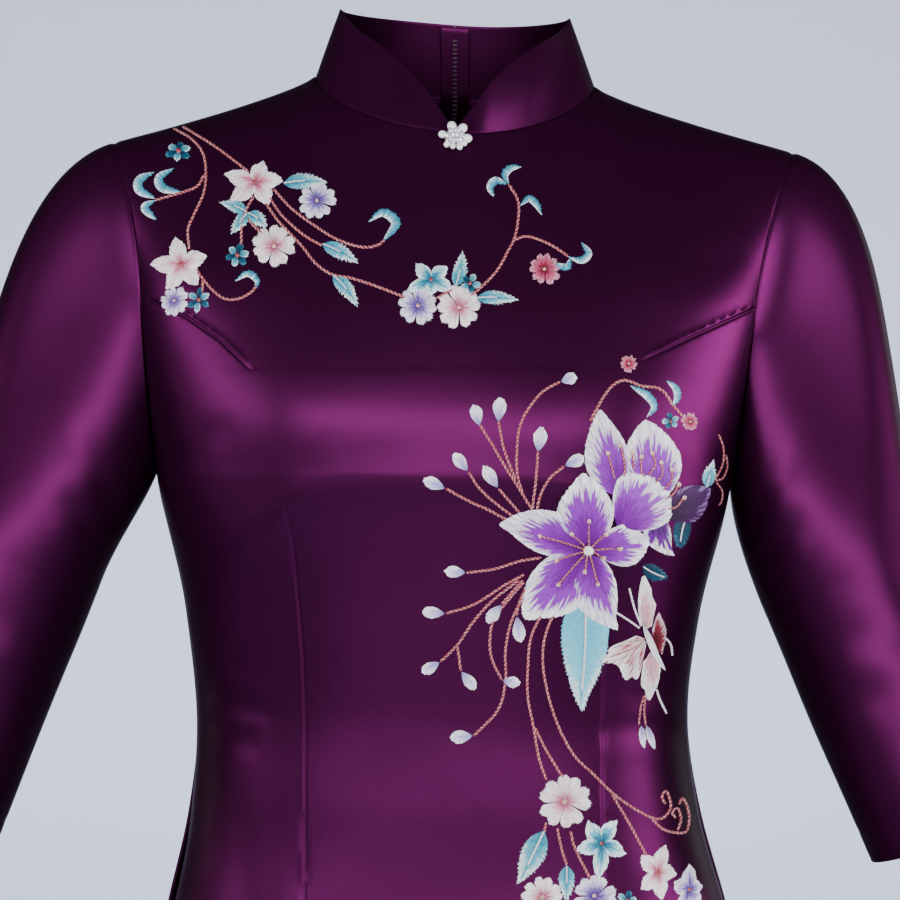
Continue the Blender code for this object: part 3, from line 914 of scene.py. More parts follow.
@dataclass
class Cloth:
    """A sheet of cloth: a fine grid laid on a form, creased, and given its thickness."""

    name: str
    cells: tuple[int, int]
    columns: Sequence[Place]
    rows: Sequence[Place]
    flat: Place
    area: float
    surface: Surface
    relief: Relief
    sharp: Sequence[Crease] = ()
    mirrored: bool = False
    closed: bool = False
    thickness: float = 0.0011
    cells_near_lines: float = 3.4
    line_cuts: int = 4

    def build(self, material: Any) -> Any:
        """Make the sheet's object.

        Args:
            material: Its material.

        Returns:
            The object.
        """
        cloth = bmesh.new()
        uv = cloth.loops.layers.uv.new("cloth")
        flat = cloth.verts.layers.float_vector.new("flat")
        bmesh.ops.create_grid(cloth, x_segments=self.cells[0], y_segments=self.cells[1], size=0.5)
        for corner in cloth.verts:
            across, up = min(max(corner.co.x + 0.5, 0), 1), min(max(corner.co.y + 0.5, 0), 1)
            corner.co = (spaced(across, self.columns), spaced(up, self.rows), 0)
        self.refine(cloth)
        for corner in cloth.verts:
            corner[flat] = corner.co
            corner.co = self.placed(corner.co.x, corner.co.y)
        for face in cloth.faces:
            for loop in face.loops:
                place = loop.vert[flat]
                loop[uv].uv = (place.x * self.flat[0], place.y * self.flat[1])
        if not self.mirrored:
            bmesh.ops.reverse_faces(cloth, faces=cloth.faces)
        if self.closed:
            bmesh.ops.remove_doubles(cloth, verts=cloth.verts, dist=0.05 * MM)
        cloth.normal_update()
        lifts = [self.relief(corner[flat], corner.co) for corner in cloth.verts]
        for corner, lift in zip(cloth.verts, lifts):
            corner.co += corner.normal * lift
        return self.finish(cloth, material)

    def placed(self, across: float, up: float) -> Vector:
        """A point of the sheet on its form, mirrored and leaned as it is worn.

        Args:
            across: Its flat place across.
            up: Its flat place up.

        Returns:
            The point.
        """
        point = self.surface(across, up)
        if self.mirrored:
            point.x = -point.x
        return FORM.posed(point)

    def refine(self, cloth: Any) -> None:
        """Cut the cells finer beside the sharp lines.

        Args:
            cloth: The flat grid.
        """
        if not self.sharp:
            return
        close = set()
        for corner in cloth.verts:
            x, _, z = self.placed(corner.co.x, corner.co.y) / MM
            for line in self.sharp:
                beside = line.close(x, z, self.cells_near_lines)
                if beside and abs(line.near(x, z)[0]) < self.cells_near_lines:
                    close.add(corner)
        edges = [edge for edge in cloth.edges if edge.verts[0] in close and edge.verts[1] in close]
        bmesh.ops.subdivide_edges(cloth, edges=edges, cuts=self.line_cuts, use_grid_fill=True)

    def finish(self, cloth: Any, material: Any) -> Any:
        """Give the sheet its thickness and its rounded edges.

        Args:
            cloth: The laid sheet.
            material: Its material.

        Returns:
            The object.
        """
        made = new_object(self.name, cloth, [material])
        wall = made.modifiers.new("wall", "SOLIDIFY")
        wall.thickness = self.thickness
        wall.offset = -1
        edge = made.modifiers.new("edge", "BEVEL")
        edge.width = self.thickness * 0.38
        edge.segments = 2
        edge.limit_method = "ANGLE"
        edge.angle_limit = math.radians(60)
        return made

    def declare(self, made: Any, pieces: Sequence[Any] = ()) -> None:
        """Take the sheet and the separate pieces on it, and do nothing with them."""


def new_object(name: str, cells: Any, materials: Sequence[Any], smooth: bool = True) -> Any:
    """Make an object from a bmesh.

    Args:
        name: Its name.
        cells: The bmesh, which is freed.
        materials: Its materials, in order.
        smooth: Whether its faces are shaded smooth.

    Returns:
        The object.
    """
    mesh = bpy.data.meshes.new(name)
    cells.to_mesh(mesh)
    cells.free()
    for material in materials:
        mesh.materials.append(material)
    if smooth:
        mesh.shade_smooth()
    made = bpy.data.objects.new(name, mesh)
    bpy.context.scene.collection.objects.link(made)
    return made


def round_edges(cells: Any, edges: Sequence[Any], width: float, segments: int = 1) -> None:
    """Round a hard piece's edges over that width, with so many faces across the rounding."""
    bmesh.ops.bevel(
        cells, geom=edges, offset=width, offset_type="OFFSET", segments=segments, profile=0.5,
        affect="EDGES", material=-1,
    )


def dress(made: Any, body: str, replaced: Sequence[str] = ()) -> Any:
    """Put a piece on its body and the nodes it stands for.

    Args:
        made: The piece.
        body: The body that it rides on.
        replaced: The nodes that it replaces.

    Returns:
        The piece.
    """
    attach(made, body)
    if replaced:
        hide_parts(*replaced)
    LOG.info("%s: %d faces", made.name, len(made.data.polygons))
    return made


def ripple(point: Vector, size: float, depth: float) -> float:
    """A wandering unevenness of the cloth, in metres, as wide as size and as deep as depth."""
    return noise.noise(point / size) * depth


@dataclass(frozen=True)
class BodyPanels:
    """The front and the two halves of the back."""

    front_cells: tuple[int, int] = (150, 232)
    back_cells: tuple[int, int] = (76, 200)
    seam_depth: float = 0.0007
    seam_width: float = 0.0016
    front_flat: Place = (0.470, 1.080)
    front_area: float = 0.400
    back_flat: Place = (0.235, 1.080)
    back_area: float = 0.200

    front_columns = ((0, 0), (0.05, 0.010), (0.12, 0.06), (0.88, 0.94), (0.95, 0.990), (1, 1))
    back_columns = ((0, 0), (0.08, 0.018), (0.18, 0.10), (0.84, 0.92), (0.93, 0.982), (1, 1))
    panel_rows = ((0, 0), (0.02, 0.006), (0.28, 0.44), (0.50, 0.667), (0.86, 0.945), (0.95, 0.988), (1, 1))

    darts = (
        Crease(((-167, -124), (-146, -134), (-127, -147), (-107, -166)), 0.5, 0.9, 0.45, 1, True),
        Crease(((164, -129), (133, -143), (97, -160)), 0.6, 0.9, 0.55, -1, True),
        Crease(
            ((-83, -505), (-83, -449), (-81, -357), (-82, -318), (-87, -252), (-94, -215)),
            0.70, 0.8, 0.25, 1,
        ),
        Crease(
            ((82, -505), (82, -449), (80, -357), (81, -318), (86, -252), (92, -215)),
            0.55, 0.8, 0.20, -1,
        ),
    )
    front_folds = (
        Ledge(
            (
                (-150, -258), (-124, -256), (-100, -246), (-82, -230), (-60, -222), (0, -221), (45, -222),
                (86, -236), (116, -258), (146, -270),
            ),
            3.2, 18.0, below=12.0,
        ),
        Crease(((-190, -440), (-70, -446), (0, -448), (70, -446), (190, -440)), 4.4, 58.0),
        Crease(((-200, -462), (-150, -462), (-96, -458)), 3.2, 56.0, 0.3),
        Crease(((-158, -216), (-138, -200), (-116, -192)), 0.45, 9.0),
        Crease(((156, -218), (138, -202), (114, -194)), 0.4, 9.5),
        Crease(((-141, -349), (-118, -345), (-96, -349)), 0.8, 5.0, 0.4),
        Crease(((-141, -371), (-120, -364), (-104, -366)), 0.6, 6.0, 0.3),
        Crease(((127, -341), (108, -339), (92, -344)), 0.6, 5.0, 0.3),
        Crease(((128, -366), (104, -357), (70, -360)), 0.7, 6.5, 0.3),
        Crease(((-76, -352), (-30, -347), (20, -356)), 0.35, 9.0),
        Crease(((-150, -462), (-112, -486), (-66, -497)), 0.6, 12.0),
        Crease(((140, -450), (104, -478), (58, -492)), 0.6, 13.0),
        Crease(((-152, -640), (-96, -668), (-20, -662)), 0.7, 22.0),
        Crease(((150, -612), (92, -640), (26, -645)), 0.6, 20.0),
        Crease(((-60, -700), (-66, -850), (-70, -1000)), 0.9, 26.0),
        Crease(((52, -720), (58, -860), (66, -1010)), 1.0, 24.0),
        Crease(((-20, -46), (-4, -54), (14, -47)), 0.45, 5.0, 0.2),
        Crease(((-9, -60), (-2, -82), (2, -110)), 0.35, 8.0),
        Crease(((-158, -86), (-140, -96), (-116, -98)), 0.5, 7.0),
        Crease(((160, -92), (144, -102), (122, -104)), 0.5, 7.0),
    )
    back_darts = (
        Crease(((-76, -520), (-74, -440), (-70, -357), (-72, -300), (-78, -228)), 0.65, 0.8, 0.2, 1),
        Crease(((70, -520), (68, -440), (64, -357), (66, -300), (72, -228)), 0.65, 0.8, 0.2, -1),
    )
    back_folds = (
        Crease(((-134, -340), (-108, -334), (-80, -338)), 0.8, 5.5, 0.3),
        Crease(((-62, -356), (-34, -350), (-8, -354)), 0.6, 6.0),
        Crease(((124, -345), (96, -336), (70, -341)), 0.7, 6.0, 0.3),
        Crease(((58, -362), (30, -354), (6, -357)), 0.5, 6.5),
        Crease(((-138, -378), (-104, -368), (-60, -372)), 0.6, 8.0),
        Crease(((128, -384), (92, -374), (48, -376)), 0.6, 8.0),
        Crease(((-150, -480), (-100, -500), (-40, -498)), 0.6, 14.0),
        Crease(((146, -476), (96, -498), (38, -494)), 0.6, 14.0),
        Crease(((-152, -150), (-122, -168), (-88, -176)), 0.9, 9.0),
        Crease(((152, -156), (124, -172), (92, -178)), 0.8, 9.0),
        Crease(((-60, -720), (-66, -860), (-70, -1010)), 1.0, 26.0),
        Crease(((58, -730), (62, -860), (68, -1010)), 0.9, 24.0),
    )

    def edge_roll(self, distance: float) -> float:
        """How far the cloth turns in at a sewn edge, at a distance from it."""
        return -self.seam_depth * bell(distance, self.seam_width)

    def panel_relief(self, creases: Sequence[Crease], half_panel: bool) -> Relief:
        """The heights of a panel over its form.

        Args:
            creases: The creases on it.
            half_panel: Whether it ends at centre back.

        Returns:
            A function of the flat place and the point on the form.
        """
        width = self.back_flat[0] if half_panel else self.front_flat[0]

        def relief(flat: Vector, point: Vector) -> float:
            """The cloth's height over its form at one corner."""
            x, z = point.x / MM, point.z / MM
            made = sum(crease.height(x, z) for crease in creases) * MM
            made += ripple(point, 0.055, 0.0005) + ripple(point, 0.016, 0.00008)
            side = min(flat.x, 1 - flat.x) * width
            if point.z > FORM.slit_top or (half_panel and flat.x < 0.5):
                made += self.edge_roll(side)
            made += self.edge_roll((1 - flat.y) * 0.6)
            return made

        return relief

    def tucked(self, surface: Surface, low_side_slit: bool) -> Surface:
        """Stand a panel's edges back by half a seam, and by the side slits' width.

        Args:
            surface: The panel's surface.
            low_side_slit: Whether the edge at 0 lies on a side seam.

        Returns:
            The surface with its edges stood back.
        """
        step = FORM.step

        def made(across: float, up: float) -> Vector:
            """The surface, with its edges stood back."""
            point = surface(across, up)
            if across in (0, 1):
                inside = surface(step if across == 0 else 1 - step, up)
                slit = across == 1 or low_side_slit
                back = FORM.slit_back(point.z) if slit else FORM.seam / 2
                point = point + (inside - point).normalized() * back
            if up in (0, 1):
                inside = surface(across, step if up == 0 else 1 - step)
                point = point + (inside - point).normalized() * (FORM.seam / 2)
            return point

        return made

    def front(self) -> Cloth:
        """The front, one piece from side seam to side seam."""
        creases = (*self.darts, *self.front_folds)
        return Cloth(
            "front_cloth", self.front_cells, self.front_columns, self.panel_rows,
            self.front_flat, self.front_area,
            self.tucked(lambda u, v: FORM.body(FRONT, 1 - 2 * u, v), True),
            self.panel_relief(creases, False), self.darts,
        )

    def back(self, arm: Arm) -> Cloth:
        """Half of the back.

        Args:
            arm: The arm on its side.

        Returns:
            The sheet.
        """
        right = arm is RIGHT_ARM
        darts = [dart for dart in self.back_darts if (dart.line[0][0] < 0) == right]
        return Cloth(
            f"back_{arm.side}_cloth", self.back_cells, self.back_columns, self.panel_rows,
            self.back_flat, self.back_area,
            self.tucked(lambda u, v: FORM.body(BACK, u, v), False),
            self.panel_relief((*self.back_darts, *self.back_folds), True), darts, mirrored=right,
        )


@dataclass(frozen=True)
class Sleeves:
    """The two set-in sleeves, closed under the arm and hemmed at the cuff."""

    cells: tuple[int, int] = (104, 128)
    flat: Place = (0.345, 0.385)
    area: float = 0.100
    seam_depth: float = 0.0005
    cap_depth: float = 0.0007
    seam_width: float = 0.0016
    hem_at: float = 0.022
    hem_depth: float = 0.00025
    hem_width: float = 0.0018
    puckers: int = 44
    pucker_height: float = 0.00018
    pucker_length: float = 0.016

    sleeve_rows = ((0, 0), (0.05, 0.010), (0.56, 0.5), (0.95, 0.975), (1, 1))
    folds = (
        Crease(((8, 112), (50, 98), (92, 106)), 0.7, 13.0, 0.4),
        Crease(((4, 146), (46, 136), (80, 146)), 0.45, 13.0, 0.4),
        Crease(((20, 246), (66, 232), (112, 240)), 0.4, 14.0, 0.3),
        Crease(((10, 278), (52, 270), (88, 280)), 0.45, 14.0, 0.3),
        Crease(((260, 118), (300, 104), (338, 114)), 0.55, 13.0, 0.4),
        Crease(((244, 252), (288, 238), (332, 250)), 0.4, 14.0, 0.4),
        Crease(((120, 190), (140, 240), (150, 300)), 0.6, 14.0),
        Crease(((210, 170), (214, 230), (206, 300)), 0.6, 14.0),
    )

    def relief(self, flat: Vector, point: Vector) -> float:
        """The sleeve's height over its form.

        Args:
            flat: Its place around and along.
            point: The point on the form.

        Returns:
            The height, in metres.
        """
        around, along = flat.x * self.flat[0], flat.y * self.flat[1]
        made = sum(fold.height(around / MM, along / MM) for fold in self.folds) * MM
        made += ripple(point, 0.060, 0.0005)
        seam = min(flat.x, 1 - flat.x) * self.flat[0]
        made -= self.seam_depth * bell(seam, self.seam_width)
        made -= self.cap_depth * bell(along, self.seam_width)
        cap = smooth_step(1 - abs(flat.x - 0.5) / 0.34) * smooth_step(1 - along / self.pucker_length)
        made += self.pucker_height * cap * math.sin(2 * math.pi * self.puckers * flat.x)
        made -= self.hem_depth * bell((1 - flat.y) * self.flat[1] - self.hem_at, self.hem_width)
        return made

    def build(self, arm: Arm) -> Cloth:
        """One sleeve.

        Args:
            arm: The arm on its side.

        Returns:
            The sheet.
        """
        step = FORM.step

        def surface(around: float, along: float) -> Vector:
            """The sleeve, with both ends stood back by half a seam."""
            point = FORM.sleeve(arm, around % 1, along)
            if along in (0, 1):
                inside = FORM.sleeve(arm, around % 1, step if along == 0 else 1 - step)
                point = point + (inside - point).normalized() * (FORM.seam / 2)
            return point

        return Cloth(
            f"sleeve_{arm.side}_cloth", self.cells, EVEN, self.sleeve_rows, self.flat, self.area,
            surface, self.relief, mirrored=arm is RIGHT_ARM, closed=True,
        )


@dataclass(frozen=True)
class Collar:
    """The stand collar's two stiff halves."""

    cells: tuple[int, int] = (96, 18)
    flat: Place = (0.245, 0.054)
    area: float = 0.0100
    turned_in: float = -0.15
    allowance: float = 0.0055
    behind: float = 0.0016
    spring: float = 0.40
    spring_reach: float = 0.024
    springs: tuple[Place, Place] = ((0.009, 0.010), (0.064, 0.026))

    def relief(self, flat: Vector, point: Vector) -> float:
        """The collar's height over its form.

        Args:
            flat: Its place along and up.
            point: The point on the form.

        Returns:
            The height, in metres.
        """
        made = ripple(point, 0.030, 0.00025)
        if flat.y > 0 > point.y:
            near, far = self.springs
            window = smooth_step((point.x - near[0]) / near[1]) * smooth_step((far[0] - point.x) / far[1])
            stands = (FORM.collar(1 - flat.x, flat.y) - FORM.collar(1 - flat.x, 0)).length
            made += self.spring * self.spring_reach * math.tanh(stands / self.spring_reach) * window
        return made

    def turning(self, around: float, share: float) -> Vector:
        """A point of the seam allowance, which lies behind the panels below the neck seam.

        Args:
            around: 0 at centre front and 1 at centre back.
            share: 0 at the seam and 1 at the allowance's free edge.

        Returns:
            The point.
        """
        half = FRONT if around <= 0.5 else BACK
        across = min(around, 1 - around) * 2 * FORM.neck_share
        on, edge = FORM.upper_body(half, across, 1 - FORM.step), FORM.upper_body(half, across, 1.0)
        down = (on - edge).normalized()
        beside = FORM.upper_body(half, across + FORM.step, 1 - FORM.step) - on
        normal = beside.cross(down).normalized() * -half.way
        if normal.y * half.way > 0 or (abs(normal.y) < 0.2 and normal.z > 0):
            normal.negate()
        return edge + down * (self.allowance * share) + normal * (self.behind * min(3 * share, 1))

    def build(self, arm: Arm) -> Cloth:
        """One half of the collar.

        Args:
            arm: The arm on its side.

        Returns:
            The sheet.
        """
        step, low = FORM.step, self.turned_in

        def surface(across: float, up: float) -> Vector:
            """The collar, with its edges stood back by half a seam and its foot turned in below the seam."""
            if up < 0:
                return self.turning(1 - across, up / low)
            point = FORM.collar(1 - across, up)
            if across in (0, 1):
                inside = FORM.collar(1 - (step if across == 0 else 1 - step), up)
                point = point + (inside - point).normalized() * (FORM.seam / 2)
            return point

        columns = ((0, 0), (0.6, 0.62), (1, 1))
        rows = ((0, low), (0.14, 0.4 * low), (0.16, 0), (0.22, 0.012), (0.30, 0.08), (0.87, 0.92), (1, 1))
        return Cloth(
            f"collar_{arm.side}_cloth", self.cells, columns, rows, self.flat, self.area,
            surface, self.relief, mirrored=arm is RIGHT_ARM, thickness=0.0014,
        )


# ---------------------------------------------------------------- embroidery


@dataclass(frozen=True)
class Petal:
    """A leaf-shaped patch of stitches from its base to its tip, in millimetres."""

    base: Place
    tip: Place
    width: float
    belly: float = 0.75
    point: float = 0.9
    bend: float = 0.0
    lean: float = 0.0
    hook: float = 0.0

    def axis(self, share: float) -> Vector:
        """A point on the middle line.

        Args:
            share: 0 at the base and 1 at the tip.

        Returns:
            The point.
        """
        base, tip = Vector(self.base), Vector(self.tip)
        along = tip - base
        aside = Vector((-along.y, along.x))
        return base + along * share + aside * (self.bend * 4 * share * (1 - share))

    def outline(self, turn: float) -> Vector:
        """A point on the outline, from the base round the tip and back to the base.

        Args:
            turn: 0 to 1 round the outline.

        Returns:
            The point.
        """
        share = (1 - abs(2 * turn - 1)) ** 0.8
        along = Vector(self.tip) - Vector(self.base)
        aside = Vector((-along.y, along.x)).normalized()
        side = math.copysign(1, turn - 0.5)
        wide = max(math.sin(math.pi * share**self.belly), 0) ** self.point
        wide *= self.width / 2 * (1 + self.lean * side)
        peak = bell(turn - 0.5, 0.05)
        middle = self.axis(share + 0.6 * abs(self.hook) * peak)
        return middle + aside * (side * wide + self.hook * along.length * peak)

    def length(self) -> float:
        """The length from base to tip."""
        return (Vector(self.tip) - Vector(self.base)).length


class Curve:
    """A smooth line through points, read by its share of length."""

    samples = 10

    def __init__(self, points: Path) -> None:
        """Lay the curve through its points.

        Args:
            points: The points, in order.
        """
        given = [Vector(point) for point in points]
        ends = [2 * given[0] - given[1], *given, 2 * given[-1] - given[-2]]
        self.points = [given[0]]
        for before, start, end, after in zip(ends, ends[1:], ends[2:], ends[3:]):
            for k in range(1, self.samples + 1):
                leave, arrive = (end - before) / 2, (after - start) / 2
                self.points.append(hermite(start, leave, end, arrive, k / self.samples))
        self.marks = [0.0]
        for start, end in zip(self.points, self.points[1:]):
            self.marks.append(self.marks[-1] + (end - start).length)
        self.length = self.marks[-1]

    def at(self, share: float) -> Vector:
        """The point at a share of the length.

        Args:
            share: The share, from 0 to 1.

        Returns:
            The point.
        """
        wanted = min(max(share, 0), 1) * self.length
        k = min(max(bisect_right(self.marks, wanted), 1), len(self.points) - 1)
        run = self.marks[k] - self.marks[k - 1]
        on = (wanted - self.marks[k - 1]) / run if run else 0.0
        return self.points[k - 1].lerp(self.points[k], on)

    def aside(self, share: float) -> Vector:
        """The way to the left of the line there."""
        way = (self.at(share + 0.02) - self.at(share - 0.02)).normalized()
        return Vector((-way.y, way.x))


class Stitcher:
    """Works stitches on a cloth, all into one mesh."""

    thread_width = 0.62
    relief = 0.10
    ragged = 0.60
    stem_pitch = 2.4

    def __init__(self, cloth: BVHTree, seed: int) -> None:
        """Start an embroidered piece.

        Args:
            cloth: The cloth under it.
            seed: The seed of its uneven stitches.
        """
        self.cloth = cloth
        self.silks = list(Thread)
        self.chance = random.Random(seed)
        self.mesh = bmesh.new()
        self.uv = self.mesh.loops.layers.uv.new("stitch")
        self.threads = 0

    def on_cloth(self, place: Vector, height: float) -> Vector:
        """Lift a place in millimetres onto the cloth, and stand it off the cloth.

        Args:
            place: Across and up, in millimetres.
            height: How far it stands off the cloth, in millimetres.

        Returns:
            The point.
        """
        start = Vector((place.x * MM, -1.0, place.y * MM))
        point, normal, _, _ = self.cloth.ray_cast(start, Vector((0, 1, 0)))
        if point is None or point.y > 0:
            point, normal, _, _ = self.cloth.find_nearest(Vector((start.x, -0.08, start.z)))
        return point + normal * (height * MM)

    def grid(self, columns: int, rows: int, silk: Thread, laid: Callable[[int, int], tuple]) -> None:
        """Lay a patch of cells.

        Args:
            columns: Cells across.
            rows: Cells along.
            silk: Its silk.
            laid: Gives the place, the height and the stitch coordinates of a corner.
        """
        made = bmesh.ops.create_grid(self.mesh, x_segments=columns, y_segments=rows, size=0.5)["verts"]
        coordinates = {}
        for corner in made:
            column, row = round((corner.co.x + 0.5) * columns), round((corner.co.y + 0.5) * rows)
            place, height, coordinates[corner] = laid(column, row)
            corner.co = self.on_cloth(place, height)
        faces = list({face for corner in made for face in corner.link_faces})
        for face in faces:
            face.normal_update()
            face.material_index = self.silks.index(silk)
            for loop in face.loops:
                loop[self.uv].uv = coordinates[loop.vert]
        if sum(face.normal.y * face.calc_area() for face in faces) > 0:
            bmesh.ops.reverse_faces(self.mesh, faces=faces)

    def fill(
        self, start: Callable[[float], Vector], end: Callable[[float], Vector], wide: float, silk: Thread,
        lift: float = 0.0, dome: float = 0.45, rows: int = 8, pale: float = 0.0, teeth: float = 0.0,
    ) -> None:
        """Fill a shape with stitches that lie side by side.

        Args:
            start: Where a stitch starts, at a share of the way across.
            end: Where it ends.
            wide: The width that the stitches cover, in millimetres.
            silk: Their silk.
            lift: How far they lie over the cloth.
            dome: How far the patch is padded.
            rows: Cells along a stitch.
            pale: How much paler the last stitch is than the first.
            teeth: The depth of the saw teeth along the edge.
        """
        threads = max(round(wide / self.thread_width), 4)
        ends = [self.chance.uniform(-1, 1) * self.ragged for _ in range(2 * threads + 1)]
        first = self.threads
        self.threads += threads + 7

        def laid(column: int, row: int) -> tuple:
            """One corner of the patch."""
            across, along = column / (2 * threads), row / rows
            begin, finish = start(across), end(across)
            away = finish - begin
            if away.length > 1e-6:
                reach = ends[column] if column % 2 else -min(0.35, away.length / 4)
                finish = finish + away.normalized() * (reach + teeth * ((across * wide / 2.6) % 1 - 0.5))
            swell = (1 - abs(2 * along - 1) ** 4) * (1 - abs(2 * across - 1) ** 6)
            ridge = (self.relief if column % 2 else -self.relief) * min(1, 3 * (1 - along) + 0.4)
            rim = 0.12 if 0 < row < rows else -0.05
            shade = min(along * (1 - 0.4 * pale) + across * pale * 0.7, 1)
            return begin.lerp(finish, along), lift + rim + dome * swell + ridge, (first + column / 2, shade)

        self.grid(2 * threads, rows, silk, laid)

    def petal(self, shape: Petal, silk: Thread, lift: float = 0.0, dome: float = 0.5) -> None:
        """Work a petal whose stitches fan out from its base.

        Args:
            shape: The petal.
            silk: Its silk.
            lift: How far it lies over the cloth.
            dome: How far it is padded.
        """
        low, high = 0.06, 0.94

        def end(across: float) -> Vector:
            """Where a stitch ends, on the outline."""
            return shape.outline(low + (high - low) * across)

        wide = shape.width * 0.9 + shape.length() * 0.4
        rows = 9 if shape.length() > 20 else 5
        self.fill(lambda across: shape.axis(0.03).lerp(end(across), 0.05), end, wide, silk, lift, dome, rows)

    def leaf(self, shape: Petal, silk: Thread = Thread.LEAF, vein: float = 0.5) -> None:
        """Work a leaf whose stitches slant from its vein to its edge.

        Args:
            shape: The leaf.
            silk: Its silk.
            vein: How far the white line along its middle reaches.
        """
        teeth = 1.1 if shape.width > 7 else 0.7
        for side in (-1, 1):

            def end(across: float) -> Vector:
                """Where a stitch ends, further along on the edge than it starts on the vein."""
                way = min(across + 0.16 * (1 - across), 0.999) ** 1.25
                return shape.outline(0.5 + side * (1 - way) / 2)

            length = shape.length()
            self.fill(lambda across: shape.axis(across * 0.94), end, length, silk, 0.0, 0.35, 5, 1.0, teeth)
        line = [tuple(shape.axis(vein * share)) for share in (0.04, 0.4, 0.7, 1.0)]
        self.stem(line, 0.8 if shape.width < 12 else 1.1, Thread.WHITE_LINE, 0.35)

    def crescent(self, line: Path, width: float) -> None:
        """Work a crescent along a curved line, pointed at both ends.

        Args:
            line: Three or four points on its middle line.
            width: Its greatest width.
        """
        curve = Curve(line)

        def edge(across: float, side: int) -> Vector:
            """A point on one of its edges."""
            wide = width / 2 * math.sin(math.pi * min(max(across, 0.0), 1.0)) ** 0.85 + 0.12
            return curve.at(across) + curve.aside(across) * (side * wide)

        self.fill(lambda s: edge(s, -1), lambda s: edge(s, 1), curve.length, Thread.CRESCENT, 0, 0.35, 4)

    def blossom(self, centre: Place, radius: float, silk: Thread, turn: float = 0.0, flat: float = 1.0) -> None:
        """Work a blossom of five broad petals, each notched at its rim.

        Args:
            centre: Its middle.
            radius: The reach of its petals.
            silk: Their silk.
            turn: The first petal's angle, in degrees.
            flat: Its height as a share of its width.
        """
        half = math.pi / 5 * 0.97
        for k in range(5):
            middle = math.radians(turn + 72 * k + self.chance.uniform(-4, 4))
            reach = radius * self.chance.uniform(0.93, 1.07)
            notch = self.chance.uniform(0.10, 0.17)

            def end(across: float) -> Vector:
                """Where a stitch ends, on the petal's rim."""
                aside = 2 * across - 1
                rim = (0.66 + 0.34 * max(1 - abs(aside) ** 3.5, 0) ** 0.5) * (1 - notch * bell(aside, 0.22))
                angle = middle + aside * half
                return Vector(centre) + Vector((math.cos(angle), math.sin(angle) * flat)) * (reach * rim)

            self.fill(
                lambda across: Vector(centre).lerp(end(across), 0.07), end, radius * 1.15, silk,
                0.06 * (k % 2), 0.35, 5,
            )
        self.knot(centre, max(radius * 0.10, 0.7), Thread.CREAM_KNOT)

    def daisy(self, centre: Place, radius: float, count: int, turn: float = 0.0, flat: float = 1.0) -> None:
        """Work a small flower of separate oval petals, light and dark in turn.

        Args:
            centre: Its middle.
            radius: The reach of its petals.
            count: How many petals.
            turn: The first petal's angle, in degrees.
            flat: Its height as a share of its width.
        """
        for k in range(count):
            angle = math.radians(turn + 360 * k / count + self.chance.uniform(-6, 6))
            reach = radius * self.chance.uniform(0.90, 1.08)
            way = Vector((math.cos(angle), math.sin(angle) * flat))
            base, tip = Vector(centre) + way * 0.12 * reach, Vector(centre) + way * reach
            shape = Petal(tuple(base), tuple(tip), radius * 3.2 / count, 1.25, 0.6)
            self.petal(shape, (Thread.BLUE_PETAL, Thread.DEEP_PETAL)[k % 2], 0.1, 0.3)
        self.knot(centre, max(radius * 0.16, 0.8), Thread.CORAL_KNOT)

    def star(self, centre: Place, tips: Path, silk: Thread, width: float = 8.6) -> None:
        """Work a star-shaped flower of pointed petals.

        Args:
            centre: Its middle.
            tips: Its petals' tips.
            silk: Their silk.
            width: The width of a petal.
        """
        for k, tip in enumerate(tips):
            hook = self.chance.uniform(-0.06, 0.06)
            self.petal(Petal(centre, tip, width, 0.95, 0.85, 0.03, hook=hook), silk, 0.1 + 0.06 * (k % 2), 0.4)
        self.knot(centre, 1.0, Thread.CORAL_KNOT)

    def knot(self, centre: Place, radius: float, silk: Thread, lift: float = 0.5) -> None:
        """Work a small round knot.

        Args:
            centre: Its middle.
            radius: Its radius.
            silk: Its silk.
            lift: How far it lies over the cloth.
        """
        sides, rings = 10, 3
        self.threads += 5
        first = self.threads

        def laid(column: int, row: int) -> tuple:
            """One corner of the knot."""
            angle = 2 * math.pi * column / sides
            out = radius * (row + 0.02) / rings
            place = Vector(centre) + Vector((math.cos(angle), math.sin(angle))) * out
            height = lift - 0.4 * (row == rings) + radius * 0.8 * math.sqrt(max(1 - (row / rings) ** 2, 0))
            return place, height, (first + column / 3, row / rings)

        self.grid(sides, rings, silk, laid)

    def stem(self, line: Path, width: float = 1.45, silk: Thread = Thread.STEM, lift: float = 0.0) -> None:
        """Work a twisted line.

        Args:
            line: The points that it passes.
            width: Its width.
            silk: Its silk.
            lift: How far it lies over the cloth.
        """
        curve = Curve(line)
        steps = max(round(curve.length / 0.6), 6)
        sides = 6
        first = self.chance.uniform(0, 9)

        def laid(column: int, row: int) -> tuple:
            """One corner of the line."""
            share = row / steps
            along = curve.length * share
            twist = 1 + 0.14 * math.sin(2 * math.pi * (along / self.stem_pitch + column / sides * 0.9))
            taper = min(1.0, 0.5 + 0.75 * min(share, 1 - share) * curve.length)
            angle = math.pi * (column / sides - 0.5)
            out = math.sin(angle) * width / 2 * twist * taper
            rise = math.cos(angle) * min(width, 1.5) * 0.40 * twist * taper
            place = curve.at(share) + curve.aside(share) * out
            return place, lift + rise - 0.08, (column / sides, (first + along) * MM)

        self.grid(sides, steps, silk, laid)

    def stamen(self, line: Path, lift: float) -> None:
        """Work a thin thread that ends in a drop.

        Args:
            line: The points that it passes, ending at the drop's middle.
            lift: How far it lies over the cloth.
        """
        self.stem(line, 1.0, lift=lift)
        before, end = Vector(line[-2]), Vector(line[-1])
        way = (end - before).normalized() * 1.6
        drop = Petal(tuple(end - way), tuple(end + way), 2.5, 1.3, 0.7)
        self.petal(drop, Thread.CREAM_KNOT, lift + 0.4, 0.4)

